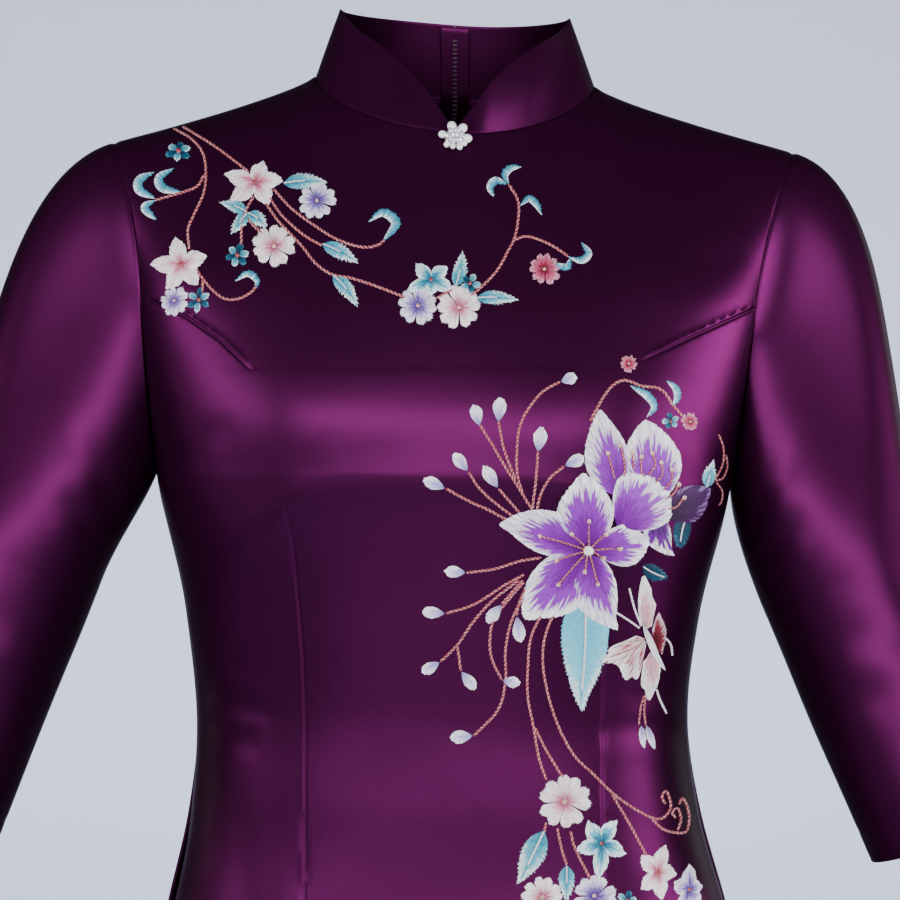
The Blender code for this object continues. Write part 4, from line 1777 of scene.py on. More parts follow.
    def bud(self, base: Place, tip: Place, width: float) -> None:
        """Work a drop-shaped bud at a stem's end."""
        self.petal(Petal(base, tip, width, 1.45, 0.72), Thread.BUD, 0.15, 0.6)

    def wing(self, base: Place, rim: Path, silk: Thread, lift: float) -> None:
        """Work a wing whose stitches fan out from its base.

        Args:
            base: Where it joins the body.
            rim: Points on its rim.
            silk: Its silk.
            lift: How far it lies over the cloth.
        """
        edge = Curve(rim)
        wide = edge.length * 0.7
        self.fill(lambda across: Vector(base).lerp(edge.at(across), 0.06), edge.at, wide, silk, lift, 0.4, 7)

    def tail(self, line: Path, base: Place, tip: Place) -> None:
        """Work a wing's tail, a thin line that ends in a drop."""
        self.stem(line, 1.1)
        self.petal(Petal(base, tip, 3.9, 1.1, 0.75), Thread.BUD, 0.1, 0.4)


Step = tuple[Callable[..., None], Sequence[tuple]]


def each(*firsts: Any, rest: tuple = ()) -> Sequence[tuple]:
    """Rows that start with one of these each and share the rest."""
    return [(first, *rest) for first in firsts]


@dataclass(frozen=True)
class Spray:
    """One embroidered piece: the seed of its uneven stitches, and its steps in order.

    A step is a stitch, and a row of what it is given for each time that it is worked. Places are in
    millimetres across and up.
    """

    name: str
    seed: int
    steps: Sequence[Step]

    def build(self, cloth: BVHTree, silks: Sequence[Any]) -> Any:
        """Work the piece.

        Args:
            cloth: The cloth under it.
            silks: The materials of all silks.

        Returns:
            The object, in place on the dress.
        """
        work = Stitcher(cloth, self.seed)
        for stitch, rows in self.steps:
            for row in rows:
                stitch(work, *row)
        return dress(new_object(self.name, work.mesh, silks), DRESS)


# The spray that hangs from the right shoulder.
SHOULDER = Spray("embroidery_shoulder", 11, (
    (Stitcher.stem, each(
        (
            (-157, -27), (-146, -34), (-139, -43), (-137, -55), (-138, -66), (-143, -78), (-146, -86),
            (-145, -97),
        ),
        ((-138, -55), (-141, -61), (-147, -64), (-154, -66), (-165, -69)),
        ((-152, -26), (-135, -37), (-123, -46), (-113, -54)),
        ((-110, -68), (-114, -76), (-116, -84), (-116, -96)), ((-113, -80), (-109, -85), (-103, -90)),
        ((-141, -108), (-134, -117), (-126, -124), (-118, -125), (-111, -122), (-107, -118)),
        ((-137, -114), (-137, -121)),
        ((-99, -64), (-89, -75), (-76, -85), (-63, -93), (-50, -97), (-42, -96), (-38, -93)),
        ((-101, -69), (-94, -79), (-82, -90), (-72, -96)),
        (
            (-103, -72), (-96, -82), (-83, -96), (-75, -106), (-66, -112), (-56, -114), (-41, -119),
            (-26, -125),
        ),
    )),
    (Stitcher.crescent, (
        (((-166, -53), (-174, -57), (-174, -63), (-165, -68)), 5.4),
        (((-155, -51), (-163, -56), (-161, -62), (-150, -65)), 5.2),
        (((-165, -69), (-171, -73), (-164, -80)), 4.4),
        (((-119, -115), (-112, -111), (-107, -115), (-108, -120)), 3.8),
        (((-47, -83), (-39, -78), (-32, -84), (-39, -94)), 5.4),
    )),
    (Stitcher.daisy, (((-153, -41), 7.8, 6, 20, 0.72),)),
    (Stitcher.leaf, each(
        Petal((-94, -61), (-69, -61), 9.0, bend=0.05), Petal((-113, -77), (-129, -71), 7.0, bend=-0.06),
        Petal((-113, -77), (-122, -89), 7.4), Petal((-113, -77), (-102, -86), 7.8, bend=0.06),
        Petal((-72, -95), (-52, -106), 8.4, bend=0.04), Petal((-66, -112), (-52, -130), 8.0, bend=0.05),
    )),
    (Stitcher.blossom, (
        ((-75, -71), 10.4, Thread.VIOLET_PETAL, 12), ((-98, -96), 12.2, Thread.PINK_PETAL, 0),
    )),
    (Stitcher.daisy, (((-118, -101), 7.4, 6, 10),)),
    (Stitcher.blossom, (((-153, -125), 8.2, Thread.VIOLET_PETAL, 40),)),
    (Stitcher.daisy, (((-139, -125), 6.8, 6, 25),)),
    (Stitcher.star, (
        (
            (-109, -60), ((-105, -48), (-94, -59), (-101, -73), (-123, -70), (-126, -54)), Thread.PINK_PETAL,
            10.0,
        ),
        (
            (-149, -105), ((-153, -90), (-135, -101), (-140, -117), (-157, -119), (-167, -104)),
            Thread.PINK_PETAL, 10.0,
        ),
    )),
))

# The small garland across the chest.
GARLAND = Spray("embroidery_garland", 12, (
    (Stitcher.stem, each(
        ((8, -124), (16, -117), (23, -109), (28, -100), (32, -92), (34, -82), (34, -71), (29, -62)),
        ((-10, -125), (-1, -120)), ((32, -93), (38, -91), (46, -93), (54, -97), (61, -102)),
    )),
    (Stitcher.crescent, (
        (((29, -62), (27, -57), (30, -53), (36, -52)), 4.4),
        (((28, -62), (22, -60), (19, -64), (21, -69)), 4.4),
        (((35, -74), (40, -70), (44, -73), (47, -79)), 4.0),
        (((61, -102), (68, -104), (72, -100), (68, -94)), 4.2), (((62, -103), (60, -108), (53, -106)), 4.0),
    )),
    (Stitcher.leaf, each(
        Petal((0, -119), (4, -99), 7.8, bend=-0.04), Petal((11, -125), (34, -126), 7.6, bend=0.04),
    )),
    (Stitcher.daisy, (((8, -117), 5.8, 5, 60),)),
    (Stitcher.blossom, (
        ((48, -109), 8.8, Thread.ROSE_PETAL, 95), ((-20, -129), 10.8, Thread.VIOLET_PETAL, 8),
        ((2, -130), 11.6, Thread.PINK_PETAL, 20),
    )),
    (Stitcher.star, (
        (
            (-13, -115), ((-21, -106), (-4, -108), (-1, -121), (-13, -124), (-26, -121)),
            Thread.STAR_PETAL, 8.0,
        ),
    )),
))

# The large flower that is seen from its side.
SECOND_FLOWER = (
    (Stitcher.petal, (
        (Petal((91, -234), (77, -184), 25, 0.85, 0.85, 0.06), Thread.BIG_PETAL, 0.0, 0.7),
        (Petal((106, -238), (102, -190), 33, 0.95, 0.75, -0.04), Thread.BIG_PETAL, 0.15, 0.7),
        (Petal((112, -243), (139, -227), 20, 1.0, 0.80, -0.05, hook=-0.03), Thread.DARK_PETAL, 0.1, 0.6),
        (Petal((107, -238), (117, -264), 15, 0.9, 0.9, -0.10, hook=0.05), Thread.EDGE_PETAL, 0.2, 0.5),
        (Petal((86, -249), (111, -222), 37, 1.40, 0.60), Thread.ROUND_PETAL, 0.6, 0.8),
    )),
    (Stitcher.stamen, each(
        ((85, -222), (83, -215), (81, -208)), ((90, -221), (90, -213), (88, -204)),
        ((95, -217), (95, -213), (94, -208)), ((101, -221), (99, -216), (99, -210)),
        ((103, -220), (107, -214), (105, -208)), ((107, -224), (111, -219), (110, -213)),
        ((111, -228), (116, -223), (116, -217)), ((112, -233), (117, -230), (120, -225)),
        ((114, -238), (119, -237), (123, -232)),
        rest=(1.1,),
    )),
)

# The large flower that is seen from the front, with its stamens round its heart.
HEART = (71, -260)
FIRST_FLOWER = (
    (Stitcher.petal, (
        (Petal(HEART, (36, -294), 32, 0.98, 0.72, 0.03, 0.10, 0.05), Thread.BIG_PETAL, 0.30, 0.8),
        (Petal(HEART, (84, -303), 25, 0.88, 0.78, -0.06, 0.0, 0.06), Thread.BIG_PETAL, 0.45, 0.8),
        (Petal(HEART, (25, -244), 24, 0.92, 0.78, -0.04, 0.0, 0.04), Thread.BIG_PETAL, 0.60, 0.8),
        (Petal(HEART, (104, -257), 23, 1.40, 0.66, 0.02, 0.0, 0.0), Thread.BIG_PETAL, 0.75, 0.8),
        (Petal(HEART, (69, -219), 31, 0.92, 0.80, 0.02, 0.0, 0.03), Thread.BIG_PETAL, 0.90, 0.8),
    )),
    (Stitcher.stamen, [
        ((HEART, ((HEART[0] + x) / 2, (HEART[1] + y) / 2 + 0.4), (x, y)), 1.6) for x, y in (
            (71, -244), (62, -251), (80, -251), (45, -252), (88, -259), (79, -264), (55, -278), (69, -271),
            (76, -278), (54, -265),
        )
    ]),
    (Stitcher.knot, ((HEART, 2.7, Thread.WHITE_KNOT, 2.0),)),
)

# The two large flowers on the bust, with their buds and leaves.
BOUQUET = Spray("embroidery_bouquet", 13, (
    (Stitcher.stem, each(
        ((13, -193), (20, -204), (27, -216), (34, -227), (42, -240)), ((23, -191), (26, -206), (32, -222)),
        ((56, -170), (47, -175), (40, -183), (35, -192), (33, -203), (33, -219), (36, -230)),
        ((44, -207), (43, -222), (41, -238)), ((58, -215), (50, -222), (45, -232), (43, -243)),
        ((23, -227), (30, -235), (36, -242)), ((7, -218), (13, -227), (23, -236), (34, -244)),
        ((-5, -227), (8, -234), (17, -238), (28, -244)), ((6, -272), (21, -270), (34, -266), (46, -264)),
        ((-5, -294), (8, -290), (17, -285), (26, -279), (37, -273)),
        ((-8, -320), (1, -311), (10, -298), (20, -287), (34, -276)), ((3, -325), (2, -318), (1, -311)),
        ((25, -289), (30, -283), (36, -276)), ((33, -295), (34, -289), (38, -280)),
        ((25, -330), (19, -316), (20, -299), (29, -286), (37, -277)),
        ((10, -360), (23, -346), (27, -330), (27, -313), (31, -296), (40, -280)),
        ((72, -191), (78, -180), (84, -172), (91, -169), (100, -172), (109, -173), (114, -177), (117, -182)),
        ((117, -182), (123, -188)),
    )),
    (Stitcher.bud, (
        ((13, -194), (10, -182), 6.8), ((23, -192), (24, -178), 7.4), ((56, -170), (65, -167), 6.6),
        ((44, -208), (46, -194), 7.6), ((58, -215), (69, -210), 7.0), ((23, -227), (15, -215), 7.0),
        ((7, -218), (-1, -208), 6.8), ((-5, -227), (-17, -222), 6.8), ((6, -272), (-6, -271), 6.6),
        ((-5, -294), (-18, -293), 6.6), ((-8, -320), (-18, -326), 6.4), ((3, -325), (11, -335), 6.4),
        ((25, -289), (17, -299), 6.8), ((33, -295), (35, -310), 7.0), ((25, -330), (35, -332), 6.4),
        ((10, -360), (-3, -361), 7.4),
    )),
    (Stitcher.crescent, (
        (((94, -172), (103, -177), (107, -183), (103, -189)), 4.6),
        (((114, -169), (119, -173), (120, -178), (117, -183)), 4.4),
    )),
    (Stitcher.daisy, (((116, -191), 4.8, 5, 30),)),
    (Stitcher.blossom, (
        ((127, -191), 5.2, Thread.ROSE_PETAL, 10), ((93, -160), 4.8, Thread.ROSE_PETAL, 50),
    )),
    (Stitcher.stem, each(
        ((142, -223), (147, -214), (147, -205), (144, -198)),
        ((142, -223), (147, -222), (150, -216), (149, -209)),
        ((143, -224), (147, -229), (147, -234), (145, -237)),
        rest=(1.1,),
    )),
    (Stitcher.leaf, (
        (Petal((137, -227), (141, -212), 8.0),),
        (Petal((126, -241), (122, -260), 10.5, 0.9, 0.6, -0.05), Thread.DARK_LEAF, 0.8),
        (Petal((101, -269), (116, -276), 8.6, 0.8, 0.8, -0.05), Thread.DARK_LEAF, 0.85),
    )),
    *SECOND_FLOWER,
    *FIRST_FLOWER,
))

# The butterfly beside the big leaf: its wings, body, feelers, legs and tails.
BUTTERFLY = (
    (Stitcher.wing, (
        (
            (108, -313),
            ((107, -304), (109, -298), (111, -295), (113, -299), (115, -304), (115, -310), (113, -318)),
            Thread.RED_WING, 0.1,
        ),
        (
            (103, -304),
            (
                (100, -299), (99, -293), (99, -286), (100, -279), (102, -274), (106, -281), (107, -286),
                (109, -290), (108, -296), (107, -302),
            ),
            Thread.WING, 0.2,
        ),
        (
            (104, -309),
            (
                (98, -307), (91, -310), (84, -313), (79, -321), (86, -322), (89, -325), (92, -331),
                (96, -330), (99, -331), (101, -325), (102, -320),
            ),
            Thread.STREAKED_WING, 0.1,
        ),
        (
            (107, -315),
            (
                (102, -322), (101, -330), (101, -335), (103, -337), (104, -341), (106, -343), (109, -338),
                (111, -333), (112, -326), (111, -321),
            ),
            Thread.WING, 0.3,
        ),
    )),
    (Stitcher.petal, (
        (Petal((101, -300), (113, -327), 3.6, 0.95, 0.7, hook=0.05), Thread.WHITE_KNOT, 0.6, 0.7),
    )),
    (Stitcher.stem, each(
        ((110, -337), (112, -343), (116, -351)), ((100, -303), (93, -298), (85, -293)),
        ((101, -302), (97, -292), (94, -281)), ((115, -309), (118, -313), (119, -319)),
        rest=(1.1, Thread.WHITE_LINE, 0.1),
    )),
    (Stitcher.tail, (
        (((103, -340), (101, -347), (100, -356)), (101, -356), (103, -369)),
        (((104, -340), (103, -348), (104, -357)), (104, -356), (109, -370)),
    )),
)

# The trails that run from the bouquet over the hip, with the big leaf and the butterfly.
HIP = Spray("embroidery_hip", 14, (
    (Stitcher.stem, each(
        ((50, -288), (41, -306), (39, -323), (39, -339), (42, -355), (45, -372), (49, -384)),
        ((43, -356), (49, -368), (58, -383)),
        (
            (56, -288), (49, -304), (47, -318), (49, -334), (55, -354), (64, -371), (74, -381), (85, -392),
            (97, -401), (108, -407), (114, -407), (118, -402), (117, -396), (115, -393), (113, -396),
            (115, -400),
        ),
        (
            (107, -407), (113, -413), (121, -416), (127, -416), (129, -410), (128, -403), (125, -398),
            (123, -401),
        ),
        ((122, -415), (124, -409), (122, -403), (119, -405), (121, -408)),
        ((85, -393), (95, -410), (104, -427)), ((49, -407), (48, -412)), ((55, -410), (57, -420), (60, -430)),
        ((62, -412), (65, -422), (73, -438)), ((50, -456), (55, -464), (58, -470)),
    )),
    (Stitcher.leaf, (
        (Petal((70, -286), (67, -347), 27, 0.62, 0.85, 0.02, hook=0.03), Thread.BIG_LEAF, 0.82),
        (Petal((48, -411), (34, -440), 13.5, 0.80, 0.95, hook=-0.03), Thread.LEAF, 0.65),
        (Petal((60, -430), (60, -450), 9),), (Petal((58, -470), (44, -492), 10, 0.85),),
    )),
    (Stitcher.blossom, (
        ((59, -396), 14.6, Thread.PINK_PETAL, 5), ((47, -447), 12, Thread.PINK_PETAL, 15),
        ((75, -447), 12, Thread.VIOLET_PETAL, 0),
    )),
    (Stitcher.daisy, (((93, -450), 5.6, 5),)),
    (Stitcher.star, (
        ((79, -419), ((71, -407), (87, -407), (92, -426), (77, -438), (65, -422)), Thread.STAR_PETAL, 8.8),
        (
            (110, -436), ((115, -422), (101, -426), (101, -445), (112, -451), (121, -438)), Thread.PINK_PETAL,
            8.8,
        ),
        (
            (128, -447), ((129, -434), (119, -442), (136, -446), (123, -458), (133, -458)),
            Thread.VIOLET_PETAL, 8.8,
        ),
    )),
    *BUTTERFLY,
))

SPRAYS = (SHOULDER, GARLAND, BOUQUET, HIP)


# ---------------------------------------------------------------- brooch and zip


@dataclass(frozen=True)
class Brooch:
    """A flower of pearls round a cluster of cut stones, on a silver plate."""

    tilt: float = math.radians(26)
    height: float = -0.0368
    seat: float = 0.9900
    out: float = 0.0026
    plate_radius: float = 0.0060
    plate_thick: float = 0.0016
    pearl_lift: float = 0.0008
    stone: float = 0.0019
    stone_reach: float = 0.0034
    pearl_count: int = 8
    stone_count: int = 6
    facet: float = 0.00012
    plate_edge: float = 0.0002

    grains = ((0.0052, 0.0008, 0.0012), (0.0048, 0.0022, 0.0007))
    pearl_ring = (
        (50, 0.0064, 0.0026), (106, 0.0064, 0.0027), (171, 0.0070, 0.0022), (229, 0.0068, 0.0018),
        (259, 0.0064, 0.0016), (290, 0.0071, 0.0018), (318, 0.0066, 0.0017), (348, 0.0069, 0.0025),
    )

    def place(self) -> Matrix:
        """The brooch's own axes: X across, Y up and Z off the cloth."""
        seat = FORM.body(FRONT, 0, self.seat)
        face = Vector((0, -math.cos(self.tilt), math.sin(self.tilt)))
        up = Vector((0, math.sin(self.tilt), math.cos(self.tilt)))
        middle = Vector((0, seat.y, self.height)) + face * self.out
        return Matrix.Translation(middle) @ Matrix((up.cross(face), up, face)).transposed().to_4x4()

    def ring(self, count: int, turn: float, reach: float, lift: float) -> list[Matrix]:
        """Places in a ring round the middle.

        Args:
            count: How many.
            turn: The first one's angle.
            reach: Their distance from the middle.
            lift: Their height over the plate's middle.

        Returns:
            A placement for each.
        """
        places = []
        for k in range(count):
            angle = turn + 2 * math.pi * k / count
            at = Vector((reach * math.cos(angle), reach * math.sin(angle), lift))
            places.append(self.place() @ Matrix.Translation(at) @ Matrix.Rotation(angle, 4, "Z"))
        return places

    def pearls(self, material: Any) -> Any:
        """The ring of pearls.

        Args:
            material: Its material.

        Returns:
            The object.
        """
        cells = bmesh.new()
        for turn, reach, size in self.pearl_ring:
            angle = math.radians(turn)
            at = Matrix.Translation((reach * math.cos(angle), reach * math.sin(angle), self.pearl_lift))
            squash = Matrix.Rotation(angle, 4, "Z") @ Matrix.Diagonal((1.06, 0.96, 1.0, 1.0))
            bmesh.ops.create_icosphere(cells, subdivisions=4, radius=size, matrix=self.place() @ at @ squash)
        return dress(new_object("brooch_pearls", cells, [material]), DRESS, ["brooch"])

    def stones(self, material: Any) -> Any:
        """The cut stones in the middle.

        Args:
            material: Its material.

        Returns:
            The object.
        """
        cells = bmesh.new()
        middle = self.ring(1, 0.13, 0.0, 0.0030)
        tall, radius = Matrix.Diagonal((1.0, 1.0, 0.85, 1.0)), self.stone * 1.05
        for at in [*self.ring(self.stone_count, 0.07, self.stone_reach, 0.0020), *middle]:
            bmesh.ops.create_uvsphere(cells, u_segments=8, v_segments=5, radius=radius, matrix=at @ tall)
        round_edges(cells, cells.edges[:], self.facet)
        return dress(new_object("brooch_stones", cells, [material], smooth=False), DRESS)

    def plate(self, material: Any) -> Any:
        """The silver plate, with a grain of silver between each two pearls.

        Args:
            material: Its material.

        Returns:
            The object.
        """
        cells = bmesh.new()
        bmesh.ops.create_cone(
            cells, cap_ends=True, segments=48, radius1=self.plate_radius, radius2=self.plate_radius * 0.92,
            depth=self.plate_thick, matrix=self.place(),
        )
        round_edges(cells, cells.edges[:], self.plate_edge, 2)
        for reach, lift, size in self.grains:
            for at in self.ring(self.pearl_count, 0.20 + math.pi / self.pearl_count, reach, lift):
                bmesh.ops.create_icosphere(cells, subdivisions=2, radius=size, matrix=at)
        return dress(new_object("brooch_plate", cells, [material]), DRESS)


@dataclass(frozen=True)
class Zip:
    """The slider at the top of the back zip, its pull, and the coil on its tape behind the seam."""

    pin_height: float = 0.0290
    pin_off_cloth: float = 0.0046
    pin_radius: float = 0.0005
    eye_radius: float = 0.0015
    eye_clearance: float = 0.0003
    eye_half: float = 0.0010
    post_at: float = 0.0019
    post_wide: float = 0.0009
    slider_half: float = 0.0027
    slider_length: float = 0.0080
    slider_thick: float = 0.0020
    slider_off_cloth: float = 0.0004
    pull_thick: float = 0.0012
    pull_length: float = 0.0170
    pull_half: float = 0.0028
    sharp_from: float = math.radians(40)
    coil_low: float = -0.440
    coil_pitch: float = 0.0024
    coil_depth: float = 0.0050
    coil_below_top: float = 0.006
    tooth_edge: float = 0.00022
    tape_depth: float = 0.0034
    tape_flat: Place = (0.016, 0.478)
    tape_thick: float = 0.0006
    neck_radius: float = 0.060

    def place(self) -> Matrix:
        """The pin's place: X along the pin, Y off the cloth and Z up the collar."""
        drop, top = BACK.neck_drop, FORM.collar_back_top
        share = (self.pin_height + drop) / (top + drop)
        foot, edge = FORM.collar(1, 0), FORM.collar(1, 1)
        up = (edge - foot).normalized()
        off = Vector((0, up.z, -up.y))
        middle = foot.lerp(edge, share) + off * self.pin_off_cloth
        return Matrix.Translation(middle) @ Matrix((Vector((1, 0, 0)), off, up)).transposed().to_4x4()

    @staticmethod
    def block(cells: Any, size: tuple, middle: tuple, place: Matrix, round_off: float) -> None:
        """Add a block with rounded edges.

        Args:
            cells: The mesh that it joins.
            size: Its three sizes.
            middle: Its middle.
            place: The axes that they are in.
            round_off: The radius of its edges.
        """
        own = Matrix.Translation(middle) @ Matrix.Diagonal((*size, 1))
        corners = set(bmesh.ops.create_cube(cells, size=1, matrix=place @ own)["verts"])
        round_edges(cells, [edge for edge in cells.edges if edge.verts[0] in corners], round_off, 3)

    def slider(self, material: Any) -> Any:
        """The slider's body with its posts and pin.

        Args:
            material: Its material.

        Returns:
            The object.
        """
        place = self.place()
        cells = bmesh.new()
        low = -self.pin_off_cloth + self.slider_off_cloth
        foot, top = low + self.slider_thick / 2, 2 * self.pin_radius
        size = (2 * self.slider_half, self.slider_thick, self.slider_length)
        lift = -self.slider_length / 2 + 2 * self.eye_radius
        self.block(cells, size, (0, foot, lift), place, 0.0006)
        for side in (-1, 1):
            size = (self.post_wide, top - foot, 4 * self.pin_radius)
            self.block(cells, size, (side * self.post_at, (top + foot) / 2, 0), place, 0.0003)
        bmesh.ops.create_cone(
            cells, cap_ends=True, segments=24, radius1=self.pin_radius, radius2=self.pin_radius,
            depth=2 * self.post_at, matrix=place @ Matrix.Rotation(math.pi / 2, 4, "Y"),
        )
        made = new_object("zip_slider_metal", cells, [material])
        made.data.set_sharp_from_angle(angle=self.sharp_from)
        return dress(made, DRESS, ["zip_slider"])

    def pull(self, material: Any) -> Any:
        """The pull tab, a flat drop with a raised rim that hangs from the pin.

        Args:
            material: Its material.

        Returns:
            The object.
        """
        place = self.place()
        cells = bmesh.new()
        bmesh.ops.create_circle(cells, cap_ends=True, segments=48, radius=1)
        for corner in cells.verts:
            level = (corner.co.y + 1) / 2
            wide = math.sqrt(max(1 - corner.co.y**2, 0)) * (0.72 - 0.28 * corner.co.y)
            side = math.copysign(1, corner.co.x) if abs(corner.co.x) > 1e-6 else 0
            drop = -self.pull_length * (1 - level) - self.eye_radius * level * 0.9
            corner.co = (side * wide * self.pull_half, -self.pull_thick * 0.35, drop)
        face = bmesh.ops.extrude_face_region(cells, geom=cells.faces[:], use_keep_orig=True)["geom"]
        lifted = [item for item in face if isinstance(item, bmesh.types.BMVert)]
        bmesh.ops.translate(cells, verts=lifted, vec=(0, self.pull_thick * 0.7, 0))
        bmesh.ops.recalc_face_normals(cells, faces=cells.faces)
        outer = [one for one in cells.faces if abs(one.normal.y) > 0.9]
        bmesh.ops.inset_region(cells, faces=outer, thickness=0.0006, depth=-0.00015)
        bmesh.ops.transform(cells, matrix=place, verts=cells.verts)
        self.eye(cells, place)
        made = new_object("zip_pull_metal", cells, [material])
        made.data.set_sharp_from_angle(angle=self.sharp_from)
        return dress(made, PULL, [PULL])

    def eye(self, cells: Any, place: Matrix) -> None:
        """Add the ring that turns on the pin, spun from its section.

        Args:
            cells: The pull's mesh.
            place: The pin's place.
        """
        inner, outer = self.pin_radius + self.eye_clearance, self.eye_radius
        half = self.eye_half
        corners = ((-half, inner), (half, inner), (half, outer), (-half, outer))
        section = [cells.verts.new(place @ Vector((x, 0, z))) for x, z in corners]
        edges = [cells.edges.new((section[k - 1], section[k])) for k in range(4)]
        axis = place.to_3x3() @ Vector((1, 0, 0))
        tab = set(cells.faces)
        bmesh.ops.spin(
            cells, geom=section + edges, cent=place.translation, axis=axis, angle=2 * math.pi, steps=24,
            use_merge=True,
        )
        bmesh.ops.recalc_face_normals(cells, faces=[face for face in cells.faces if face not in tab])

    def behind(self, x: float, height: float, depth: float) -> Vector:
        """A point behind the seam at centre back.

        Args:
            x: How far it is to the side.
            height: Its height.
            depth: How far it is behind the cloth's outer face.

        Returns:
            The point.
        """
        if height > -BACK.neck_drop:
            share = (height + BACK.neck_drop) / (FORM.collar_back_top + BACK.neck_drop)
            seam = FORM.collar(1, share)
        else:
            seam = Vector((0, BACK.reach.at(height), height))
        return seam + Vector((x, -depth - x * x / (2 * self.neck_radius), 0))

    def tape(self) -> Cloth:
        """The woven tape that carries the coil, flat behind the seam."""
        top = FORM.collar_back_top - 0.002
        low = self.coil_low - 0.008
        wide, long = self.tape_flat

        def surface(across: float, up: float) -> Vector:
            """The tape from its foot to the collar's edge."""
            return self.behind((across - 0.5) * wide, low + (top - low) * up, self.tape_depth)

        return Cloth(
            "zip_tape_cloth", (8, 160), EVEN, EVEN, self.tape_flat, wide * long,
            surface, lambda place, point: 0.0, thickness=self.tape_thick,
        )

    def coil(self, material: Any) -> Any:
        """The zip's coil, a run of small teeth behind the seam at centre back.

        Args:
            material: Its material.

        Returns:
            The object.
        """
        cells = bmesh.new()
        top = FORM.collar_back_top - self.coil_below_top
        size = Matrix.Diagonal((0.0030, 0.0009, self.coil_pitch * 0.62, 1))
        for k in range(int((top - self.coil_low) / self.coil_pitch)):
            height = self.coil_low + (k + 0.5) * self.coil_pitch
            point = FORM.posed(self.behind(0.0, height, self.coil_depth))
            bmesh.ops.create_cube(cells, size=1, matrix=Matrix.Translation(point) @ size)
        round_edges(cells, cells.edges[:], self.tooth_edge)
        return dress(new_object("zip_coil", cells, [material]), DRESS)


# ---------------------------------------------------------------- studio


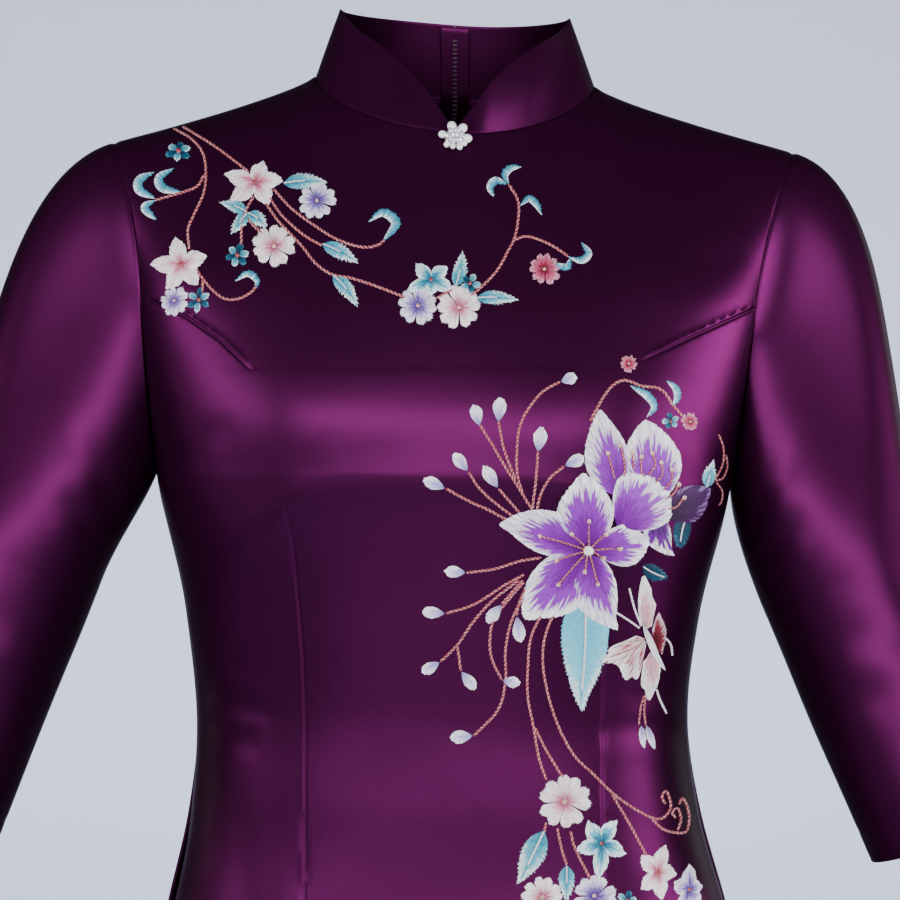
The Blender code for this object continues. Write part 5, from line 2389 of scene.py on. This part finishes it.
@dataclass(frozen=True)
class Studio:
    """The pale floor and backdrop, the lights, and the camera."""

    camera_at: tuple[float, float, float] = (-0.0028, -2.6, -0.2064)
    sensor: float = 36.0
    view_width: float = 0.504
    floor_height: float = -1.45
    room: float = 16.0
    backdrop_at: float = 9.0

    def camera(self) -> None:
        """Look at the dress from straight ahead."""
        lens = bpy.data.cameras.new("camera")
        lens.sensor_width = self.sensor
        lens.lens = self.sensor * -self.camera_at[1] / self.view_width
        made = bpy.data.objects.new("camera", lens)
        made.location = self.camera_at
        made.rotation_euler = (math.radians(90), 0, 0)
        bpy.context.scene.collection.objects.link(made)
        bpy.context.scene.camera = made

    def floor(self, paper: Any) -> None:
        """The wide floor under the dress.

        Args:
            paper: Its material.
        """
        cells = bmesh.new()
        low = Matrix.Translation((0, 0, self.floor_height))
        bmesh.ops.create_circle(cells, cap_ends=True, segments=64, radius=self.room, matrix=low)
        new_object("studio_floor", cells, [paper], smooth=False)

    def backdrop(self, paper: Any) -> None:
        """The upright paper far behind the dress.

        Args:
            paper: Its material.
        """
        cells = bmesh.new()
        at = Matrix.Translation((0, self.backdrop_at, 1.2)) @ Matrix.Rotation(math.pi / 2, 4, "X")
        wide = Matrix.Diagonal((4, 2.6, 1, 1))
        bmesh.ops.create_grid(cells, x_segments=2, y_segments=2, size=1, matrix=at @ wide)
        new_object("studio_backdrop", cells, [paper], smooth=False)

    @staticmethod
    def paper() -> Any:
        """The pale paper of floor and backdrop."""
        shader = Shader("studio_paper")
        cloud = shader.grain(shader.place(), 0.8, 2.0)
        return shader.finish({
            "Base Color": shader.mix(cloud, (0.64, 0.69, 0.84), (0.67, 0.72, 0.87)),
            "Roughness": 0.9,
            "Specular IOR Level": 0.0,
        })

    @staticmethod
    def light(name: str, at: tuple, aim: tuple, size: Place, power: float) -> None:
        """Add a soft light.

        Args:
            name: Its name.
            at: Where it stands.
            aim: The point that it faces.
            size: Its width and height.
            power: Its power in watts.
        """
        lamp = bpy.data.lights.new(name, "AREA")
        lamp.shape = "RECTANGLE"
        lamp.size, lamp.size_y = size
        lamp.energy = power
        made = bpy.data.objects.new(name, lamp)
        made.location = at
        made.rotation_euler = (Vector(aim) - Vector(at)).to_track_quat("-Z", "Y").to_euler()
        bpy.context.scene.collection.objects.link(made)

    def lights(self) -> None:
        """Softboxes ahead, beside, below and behind the dress, two for the paper, and a pale world."""
        for name, at, aim, size, power in (
            ("ahead", (0.0, -1.75, -0.01), (0.0, 0.0, -0.20), (3.4, 0.26), 58),
            ("left", (1.60, -0.04, -0.20), (0.1, 0.0, -0.20), (1.3, 0.26), 19),
            ("right", (-1.55, -0.45, -0.03), (0.0, 0.0, -0.18), (0.9, 0.24), 10),
            ("low_left", (2.3, 0.45, -0.65), (0.1, 0.0, -0.35), (0.9, 1.3), 24),
            ("low_right", (-2.0, 0.8, -0.75), (-0.1, 0.0, -0.30), (0.9, 0.7), 11),
            ("low_ahead", (0.0, -2.3, -1.15), (0.0, 0.0, -0.30), (2.4, 0.5), 7),
            ("rear", (1.8, 1.9, 0.1), (0.0, 0.0, -0.40), (1.0, 1.0), 12),
            ("paper_low", (0.0, 7.2, -1.2), (0.0, 9.0, 0.4), (6.0, 0.5), 100),
            ("paper_high", (0.0, 6.8, 3.4), (0.0, 9.0, 0.6), (6.0, 0.5), 130),
        ):
            self.light(name, at, aim, size, power)
        world = bpy.data.worlds.new("studio")
        world.use_nodes = True
        world.node_tree.nodes["Background"].inputs["Color"].default_value = (0.88, 0.90, 1.0, 1)
        world.node_tree.nodes["Background"].inputs["Strength"].default_value = 0.30
        bpy.context.scene.world = world

    def build(self) -> None:
        """Set the whole studio up."""
        paper = self.paper()
        self.camera()
        self.floor(paper)
        self.backdrop(paper)
        self.lights()


def cloth_tree(made: Any) -> BVHTree:
    """The outer face of a cloth piece, for stitches to lie on."""
    mesh = made.data
    corners = [corner.co.copy() for corner in mesh.vertices]
    return BVHTree.FromPolygons(corners, [tuple(face.vertices) for face in mesh.polygons])


def main() -> None:
    """Build the dress piece by piece, then the studio."""
    logging.basicConfig(level=logging.INFO, format="%(name)s: %(message)s")
    satin = Satin().material("purple_satin")
    silks = [silk.value.material(f"silk_{silk.name.lower()}") for silk in Thread]
    pearl = Gloss((0.82, 0.78, 0.76), (0.90, 0.88, 0.90), 0.18, coat=0.5).material("pearl")
    stone = Gloss((0.70, 0.72, 0.78), (0.86, 0.87, 0.92), 0.08, 0.45, 0.6).material("cut_stone")
    silver = Gloss((0.62, 0.60, 0.62), (0.74, 0.73, 0.75), 0.28, 1.0).material("silver")
    metal = Gloss((0.15, 0.045, 0.13), (0.20, 0.06, 0.17), 0.30, 0.75, 0.3).material("purple_metal")
    nylon = Gloss((0.030, 0.003, 0.024), (0.045, 0.004, 0.036), 0.6).material("purple_nylon")

    panels = BodyPanels()
    front = panels.front()
    front_cloth = dress(front.build(satin), DRESS, ["front_bodice", "front_skirt"])
    under = cloth_tree(front_cloth)
    front.declare(front_cloth, [spray.build(under, silks) for spray in SPRAYS])
    for arm in (LEFT_ARM, RIGHT_ARM):
        back = panels.back(arm)
        nodes = [f"back_{arm.side}_bodice", f"back_{arm.side}_skirt"]
        back.declare(dress(back.build(satin), DRESS, nodes))
        for sheet, node in ((Sleeves().build(arm), "sleeve"), (Collar().build(arm), "collar")):
            sheet.declare(dress(sheet.build(satin), DRESS, [f"{node}_{arm.side}"]))
    brooch = Brooch()
    brooch.pearls(pearl)
    brooch.stones(stone)
    brooch.plate(silver)
    closure = Zip()
    closure.slider(metal)
    closure.pull(metal)
    tape = closure.tape()
    tape.declare(dress(tape.build(satin), DRESS), [closure.coil(nylon)])
    Studio().build()


if __name__ == "__main__":
    main()
